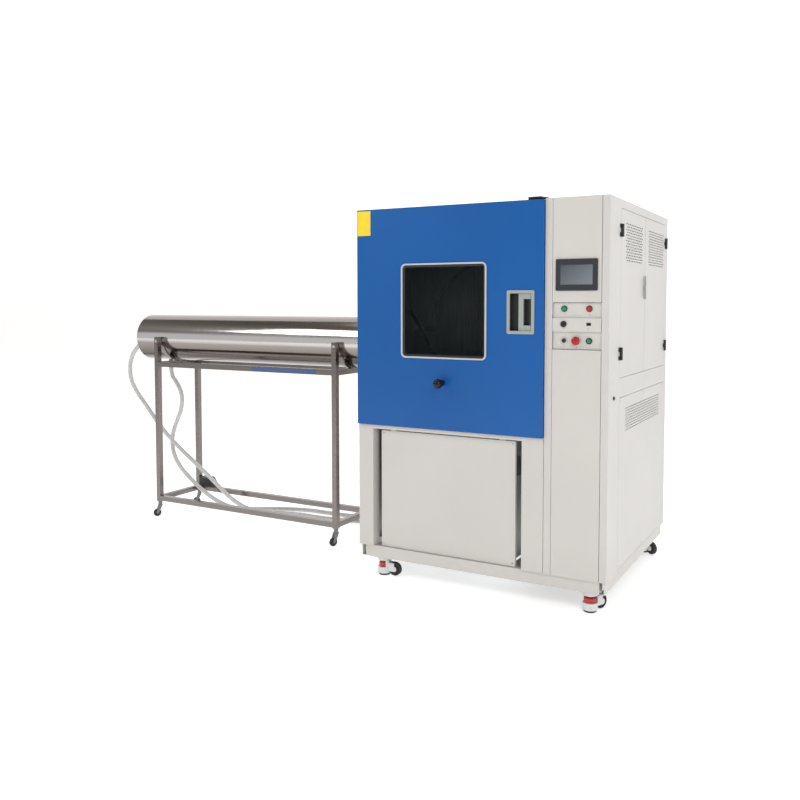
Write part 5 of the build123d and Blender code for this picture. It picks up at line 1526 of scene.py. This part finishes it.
@dataclass(frozen=True)
class PumpFinish:
    """Machine enamel on pump and motors, bright steel on the ports outside the walls."""

    rear_wall: float
    deep: Colour = (0.05, 0.13, 0.22)
    pale: Colour = (0.07, 0.17, 0.27)
    steel: Colour = (0.56, 0.56, 0.55)

    def make(self) -> bpy.types.Material:
        """Makes the finish.

        Returns:
            The material.
        """
        s = Shader("pump_finish")
        x, y, _ = s.from_cabinet()
        outside = x.below(0.0).either(y.above(self.rear_wall * MM))
        cloud = s.noise(s.place, 30.0, 4.0)
        enamel = s.mix(cloud, self.deep, self.pale)
        return s.surface(Base_Color=s.mix(outside, enamel, self.steel), Metallic=outside,
                         Roughness=0.32 + cloud * 0.12, Normal=s.bump(cloud, 0.08, 0.0008))


@dataclass(frozen=True)
class BoardFinish:
    """Zinc plate, pale slotted ducts, and rows of devices with dark fronts.

    The slots are a sine wave along the duct, slot_wave radians in a metre.
    """

    plate_face: float
    ducts: tuple[Span, ...]
    slot_wave: float = 785.0
    zinc: Colour = (0.55, 0.55, 0.53)
    pale: Colour = (0.42, 0.43, 0.43)
    dark: Colour = (0.05, 0.055, 0.06)
    duct: Colour = (0.34, 0.36, 0.37)

    def make(self) -> bpy.types.Material:
        """Makes the finish.

        Returns:
            The material.
        """
        s = Shader("board_finish")
        x, y, z = s.from_cabinet()
        device = x.above(self.plate_face * MM)
        heights = [z.between(low * MM, high * MM) for low, high in self.ducts]
        in_duct = heights[0]
        for height in heights[1:]:
            in_duct = in_duct.either(height)
        dark = s.noise(s.moved(scale=(1.0, 22.0, 3.0)), 1.0, 0.0).above(0.52)
        base = s.mix(device, self.zinc, s.mix(dark, self.pale, self.dark))
        base = s.mix(device * in_duct, base, self.duct)
        slots = (y * self.slot_wave).sine() * device * in_duct
        return s.surface(Base_Color=base, Roughness=0.42, Metallic=(1 - device) * 0.8,
                         Normal=s.bump(slots, 0.4, 0.002))


@dataclass
class Machine(SubAssembly):
    """Reservoir, pump, drives and the electrical board."""

    rear_wall: float = 1150.0
    board_face: float = 1160.1
    ducts: tuple[Span, ...] = ((1129.0, 1171.0), (1359.0, 1401.0), (1589.0, 1631.0), (1809.0, 1851.0))

    def build(self, finish: Finishes, nodes: Nodes) -> Pieces:
        """Dresses the machine's nodes.

        Args:
            finish: Finishes to use.
            nodes: CAD nodes by name.

        Returns:
            Nothing, because no piece is added.
        """
        dress(nodes, {
            "water_reservoir": finish.tank_plastic,
            "pump_and_drives": PumpFinish(self.rear_wall).make(),
            "electrical_board": BoardFinish(self.board_face, self.ducts).make()})
        return []


# Stand


@dataclass(frozen=True)
class TankPaintedReflections:
    """Mirror polish with painted reflections: bands of light and shade by height, a bright band at the
    tank's middle, browner and darker below it.
    """

    middle: float
    radius: float
    roughness: float = 0.10
    wave: float = 0.08
    # Painted reflections: colours from the tank's bottom (0) to its top (1), bands of the room's light and
    # shade laid into the metal's colour
    stops: tuple[tuple[float, Colour], ...] = (
        (0.0, (0.30, 0.27, 0.25)), (0.12, (0.085, 0.072, 0.066)), (0.25, (0.19, 0.165, 0.152)),
        (0.40, (0.30, 0.27, 0.255)), (0.48, (0.80, 0.79, 0.78)), (0.60, (0.80, 0.79, 0.78)),
        (0.72, (0.50, 0.47, 0.45)), (1.0, (0.36, 0.33, 0.31)))

    def make(self) -> bpy.types.Material:
        """Makes the finish.

        Returns:
            The material.
        """
        s = Shader("tank_painted_reflections")
        height = s.from_cabinet(z=self.middle)[2].ramp(-self.radius * MM, self.radius * MM)
        # The painted reflection bands follow the height across the tank
        base = s.node("ShaderNodeValToRGB", {"stops": self.stops}, {"Fac": height})
        return polish(s, base, self.roughness, self.wave)


@dataclass
class Stand(SubAssembly):
    """The tank's wheeled stand: polished tubes, saddles, caps, bolts and the blue strip."""

    legs_x: Span = (-1853.0, -400.0)
    legs_y: Span = (350.0, 715.0)
    leg_top: float = 1216.0
    tube: float = 32.0
    bolt_drop: float = 22.0
    top_rail: float = 1037.0
    tank_z: float = 1212.0
    tank_radius: float = 155.0
    strip_x: float = -776.0
    strip_size: tuple[float, float] = (492.0, 26.0)

    def build(self, finish: Finishes, nodes: Nodes) -> Pieces:
        """Dresses the stand's nodes and adds its small pieces.

        Args:
            finish: Finishes to use.
            nodes: CAD nodes by name.

        Returns:
            The leg caps, the leg bolts and the blue strip.
        """
        dress(nodes, {
            # The stand's tubes and caps take the darkened steel of painted dark reflection
            "trolley_frame": finish.frame_steel_painted_dark,
            # The tank's colour holds painted reflection bands
            "water_tank": TankPaintedReflections(self.tank_z, self.tank_radius).make(),
            "valve_box": finish.black})
        return [*self._leg_tops(finish), self._strip(finish.blue_strip)]

    def _leg_tops(self, finish: Finishes) -> Pieces:
        """Rounded caps, and a bolt with its washer on the outer face of each leg.

        Args:
            finish: Finishes to use.

        Returns:
            The caps and the bolts.
        """
        caps, bolts = Surface(), Surface()
        dome = [(0, -3.2), (0, 0.0), (1.2, 2.4), (4.0, 4.4), (9.0, 5.2)]
        faces = ((Facing.FRONT, -self.tube / 2), (Facing.BACK, self.tube / 2))
        for x in self.legs_x:
            for y, (facing, outwards) in zip(self.legs_y, faces):
                caps.plate(Facing.TOP.frame(x, y, self.leg_top), (self.tube, self.tube), 4.0, dome)
                HexagonBolt().add(bolts, facing.frame(x, y + outwards, self.leg_top - self.bolt_drop))
        return [caps.piece("leg_caps", "cabinet", finish.frame_steel_painted_dark),
                bolts.piece("leg_bolts", "cabinet", finish.bolt)]

    def _strip(self, blue: bpy.types.Material) -> bpy.types.Object:
        """Bare blue strip on the front of the upper rail.

        Args:
            blue: Finish of the strip.

        Returns:
            The strip.
        """
        frame = Facing.FRONT.frame(self.strip_x, self.legs_y[0] - self.tube / 2, self.top_rail)
        strip = Surface().plate(frame, self.strip_size, 1.5, [(0, -SUNK), (0, 0.4), (0.4, 0.7), (3.0, 0.7)])
        return strip.piece("blue_strip", "cabinet", blue)


# Casters


@dataclass(frozen=True)
class CasterHousingFinish:
    """White lacquer with scuffs."""

    white: Colour = (0.66, 0.66, 0.65)
    worn: Colour = (0.40, 0.39, 0.37)

    def make(self) -> bpy.types.Material:
        """Makes the finish.

        Returns:
            The material.
        """
        s = Shader("caster_housing_finish")
        scuff = s.noise(s.place, 45.0, 5.0).ramp(0.55, 0.8)
        return s.surface(Base_Color=s.mix(scuff * 0.5, self.white, self.worn), Roughness=0.30 + scuff * 0.2,
                         Coat_Weight=0.2, Normal=s.bump(s.fine(500.0), 0.06, 0.0003))


@dataclass(frozen=True)
class LevellingFootFinish:
    """Black rubber pad, plated stem and red thumb ring."""

    pad_top: float = 14.5
    ring: Span = (48.5, 67.5)
    steel: Colour = (0.50, 0.50, 0.50)
    black: Colour = (0.016, 0.016, 0.016)
    red: Colour = (0.52, 0.02, 0.02)

    def make(self) -> bpy.types.Material:
        """Makes the finish.

        Returns:
            The material.
        """
        s = Shader("levelling_foot_finish")
        height = s.split(s.place)[2]
        ring = height.between(Place.z(self.ring[0]), Place.z(self.ring[1]))
        pad = height.below(Place.z(self.pad_top))
        base = s.mix(ring, s.mix(pad, self.steel, self.black), self.red)
        return s.surface(Base_Color=base, Metallic=(1 - ring) * (1 - pad), Roughness=0.36 + pad * 0.3,
                         Normal=s.bump(s.fine(600.0), 0.15, 0.0004))


@dataclass
class Casters(SubAssembly):
    """Levelling casters of the cabinet and light casters of the stand."""

    corners: tuple[str, ...] = ("front_left", "front_right", "rear_left", "rear_right")

    def build(self, finish: Finishes, nodes: Nodes) -> Pieces:
        """Dresses every caster's nodes.

        Args:
            finish: Finishes to use.
            nodes: CAD nodes by name.

        Returns:
            Nothing, because no piece is added.
        """
        housing = CasterHousingFinish().make()
        foot = LevellingFootFinish().make()
        for corner in self.corners:
            dress(nodes, {
                f"caster_housing_{corner}": housing,
                f"caster_wheel_{corner}": finish.tyre,
                f"levelling_foot_{corner}": foot,
                f"trolley_fork_{corner}": finish.dark_zinc,
                f"trolley_wheel_{corner}": finish.tyre})
        return []


# Floor, lights and camera


@dataclass(frozen=True)
class Lamp:
    """A soft rectangular light: place and target in millimetres, size in metres, power in watts."""

    name: str
    place: Point
    target: Point
    size: tuple[float, float]
    power: float

    def light(self) -> None:
        """Adds the light and aims it at its target."""
        data = bpy.data.lights.new(self.name, "AREA")
        data.shape = "RECTANGLE"
        data.size, data.size_y = self.size
        data.energy = self.power
        light = linked(self.name, data)
        light.location = Place.at(*self.place)
        aim = Vector(Place.at(*self.target) - Place.at(*self.place))
        light.rotation_euler = aim.to_track_quat("-Z", "Y").to_euler()


@dataclass
class Studio:
    """Pale floor, soft lights and the photograph's camera."""

    eye: Point = (2368.4, -3563.9, 1441.7)
    yaw: float = 27.628
    pitch: float = -2.955
    roll: float = -0.08
    focal: float = 804.4
    centre: tuple[float, float] = (442.9, 346.0)
    picture: float = 800.0
    sensor: float = 36.0
    far: float = 60.0
    floor_front: float = -9000.0
    floor_back: float = 5200.0
    floor_bend: float = 3000.0
    floor_half_width: float = 60000.0
    backdrop_top: float = 30000.0
    floor_glow: float = 0.62
    room_glow: float = 0.55
    room: tuple[tuple[float, Colour], ...] = (
        (0.0, (0.55, 0.53, 0.50)), (0.42, (0.60, 0.58, 0.55)), (0.47, (1.0, 0.99, 0.98)),
        (0.60, (1.0, 0.99, 0.98)), (0.67, (0.34, 0.31, 0.29)), (0.76, (0.62, 0.59, 0.56)),
        (0.88, (0.26, 0.23, 0.21)), (1.0, (0.75, 0.75, 0.75)))
    lamps: tuple[Lamp, ...] = (
        Lamp("key", (4300, -3700, 3900), (600, 300, 900), (2.6, 2.6), 125.0),
        Lamp("fill", (-3600, -3600, 4600), (-200, 300, 900), (3.0, 2.0), 95.0),
        Lamp("side", (5400, 1500, 2600), (1350, 700, 1000), (2.4, 2.6), 8.0),
        Lamp("top", (-300, 300, 4800), (-300, 400, 0), (4.5, 3.0), 45.0))

    def camera(self) -> None:
        """Sets up the camera solved from the photograph's edges, with focal and centre in its pixels."""
        data = bpy.data.cameras.new("photo_camera")
        data.sensor_fit = "HORIZONTAL"
        data.sensor_width = self.sensor
        data.lens = self.sensor * self.focal / self.picture
        data.shift_x = -(self.centre[0] - self.picture / 2) / self.picture
        data.shift_y = (self.centre[1] - self.picture / 2) / self.picture
        data.clip_end = self.far
        camera = linked("photo_camera", data)
        camera.location = Place.at(*self.eye)
        angles = (90.0 + self.pitch, self.roll, self.yaw)
        camera.rotation_euler = tuple(math.radians(angle) for angle in angles)
        bpy.context.scene.camera = camera

    def build(self) -> None:
        """Adds the floor with its backdrop, the room's reflections and the lights."""
        self._floor()
        self._room()
        for lamp in self.lamps:
            lamp.light()
        view = bpy.context.scene.view_settings
        view.view_transform = "Standard"
        view.look = "None"
        view.exposure = 0.0

    def _floor(self) -> None:
        """One pale sheet that curves up behind the object, as a quarter circle in y and z."""
        turn = np.linspace(0.0, math.pi / 2, 24)
        bend, back = self.floor_bend, self.floor_back
        y = np.concatenate([[self.floor_front], back + bend * np.sin(turn), [back + bend]])
        z = np.concatenate([[0.0], bend - bend * np.cos(turn), [self.backdrop_top]])
        sheet = np.zeros((len(y), 2, 3))
        sheet[..., 0] = (-self.floor_half_width, self.floor_half_width)
        sheet[..., 1], sheet[..., 2] = y[:, None], z[:, None]
        mesh = Surface().grid(sheet).mesh("studio_floor")
        mesh.shade_smooth()
        s = Shader("studio_white")
        white = s.mix(s.noise(s.place, 3.0, 2.0), (0.86, 0.86, 0.86), (0.88, 0.88, 0.88))
        mesh.materials.append(s.surface(Base_Color=white, Roughness=0.8, Emission_Color=white,
                                        Emission_Strength=self.floor_glow))
        linked("studio_floor", mesh)

    def _room(self) -> None:
        """A room for reflections: bands of light and shade by the height of the direction looked in."""
        world = bpy.data.worlds.new("studio_room")
        bpy.context.scene.world = world
        world.use_nodes = True
        room = NodeTree(world.node_tree)
        height = room.split(room.node("ShaderNodeTexCoord", out="Generated"))[2] * 0.5 + 0.5
        colour = room.node("ShaderNodeValToRGB", {"stops": self.room}, {"Fac": height})
        glow = room.node("ShaderNodeBackground", values={"Color": colour, "Strength": self.room_glow})
        room.node("ShaderNodeOutputWorld", values={"Surface": glow})


def main() -> None:
    """Builds the camera first, then every sub-assembly in order, then the studio."""
    logging.basicConfig(level=logging.INFO, format="%(message)s")
    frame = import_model()
    nodes = frame["nodes"]
    Place.settle()
    studio = Studio()
    studio.camera()
    finish = Finishes()
    for part in (Hoses(), Door(), ControlColumn(), Casing(), TestSpace(), Machine(), Stand(), Casters()):
        pieces = part.build(finish, nodes)
        log.info("%s is dressed", type(part).__name__)
        for piece in pieces:
            log.info("piece %s is built", piece.name)
    studio.build()


if __name__ == "__main__":
    main()
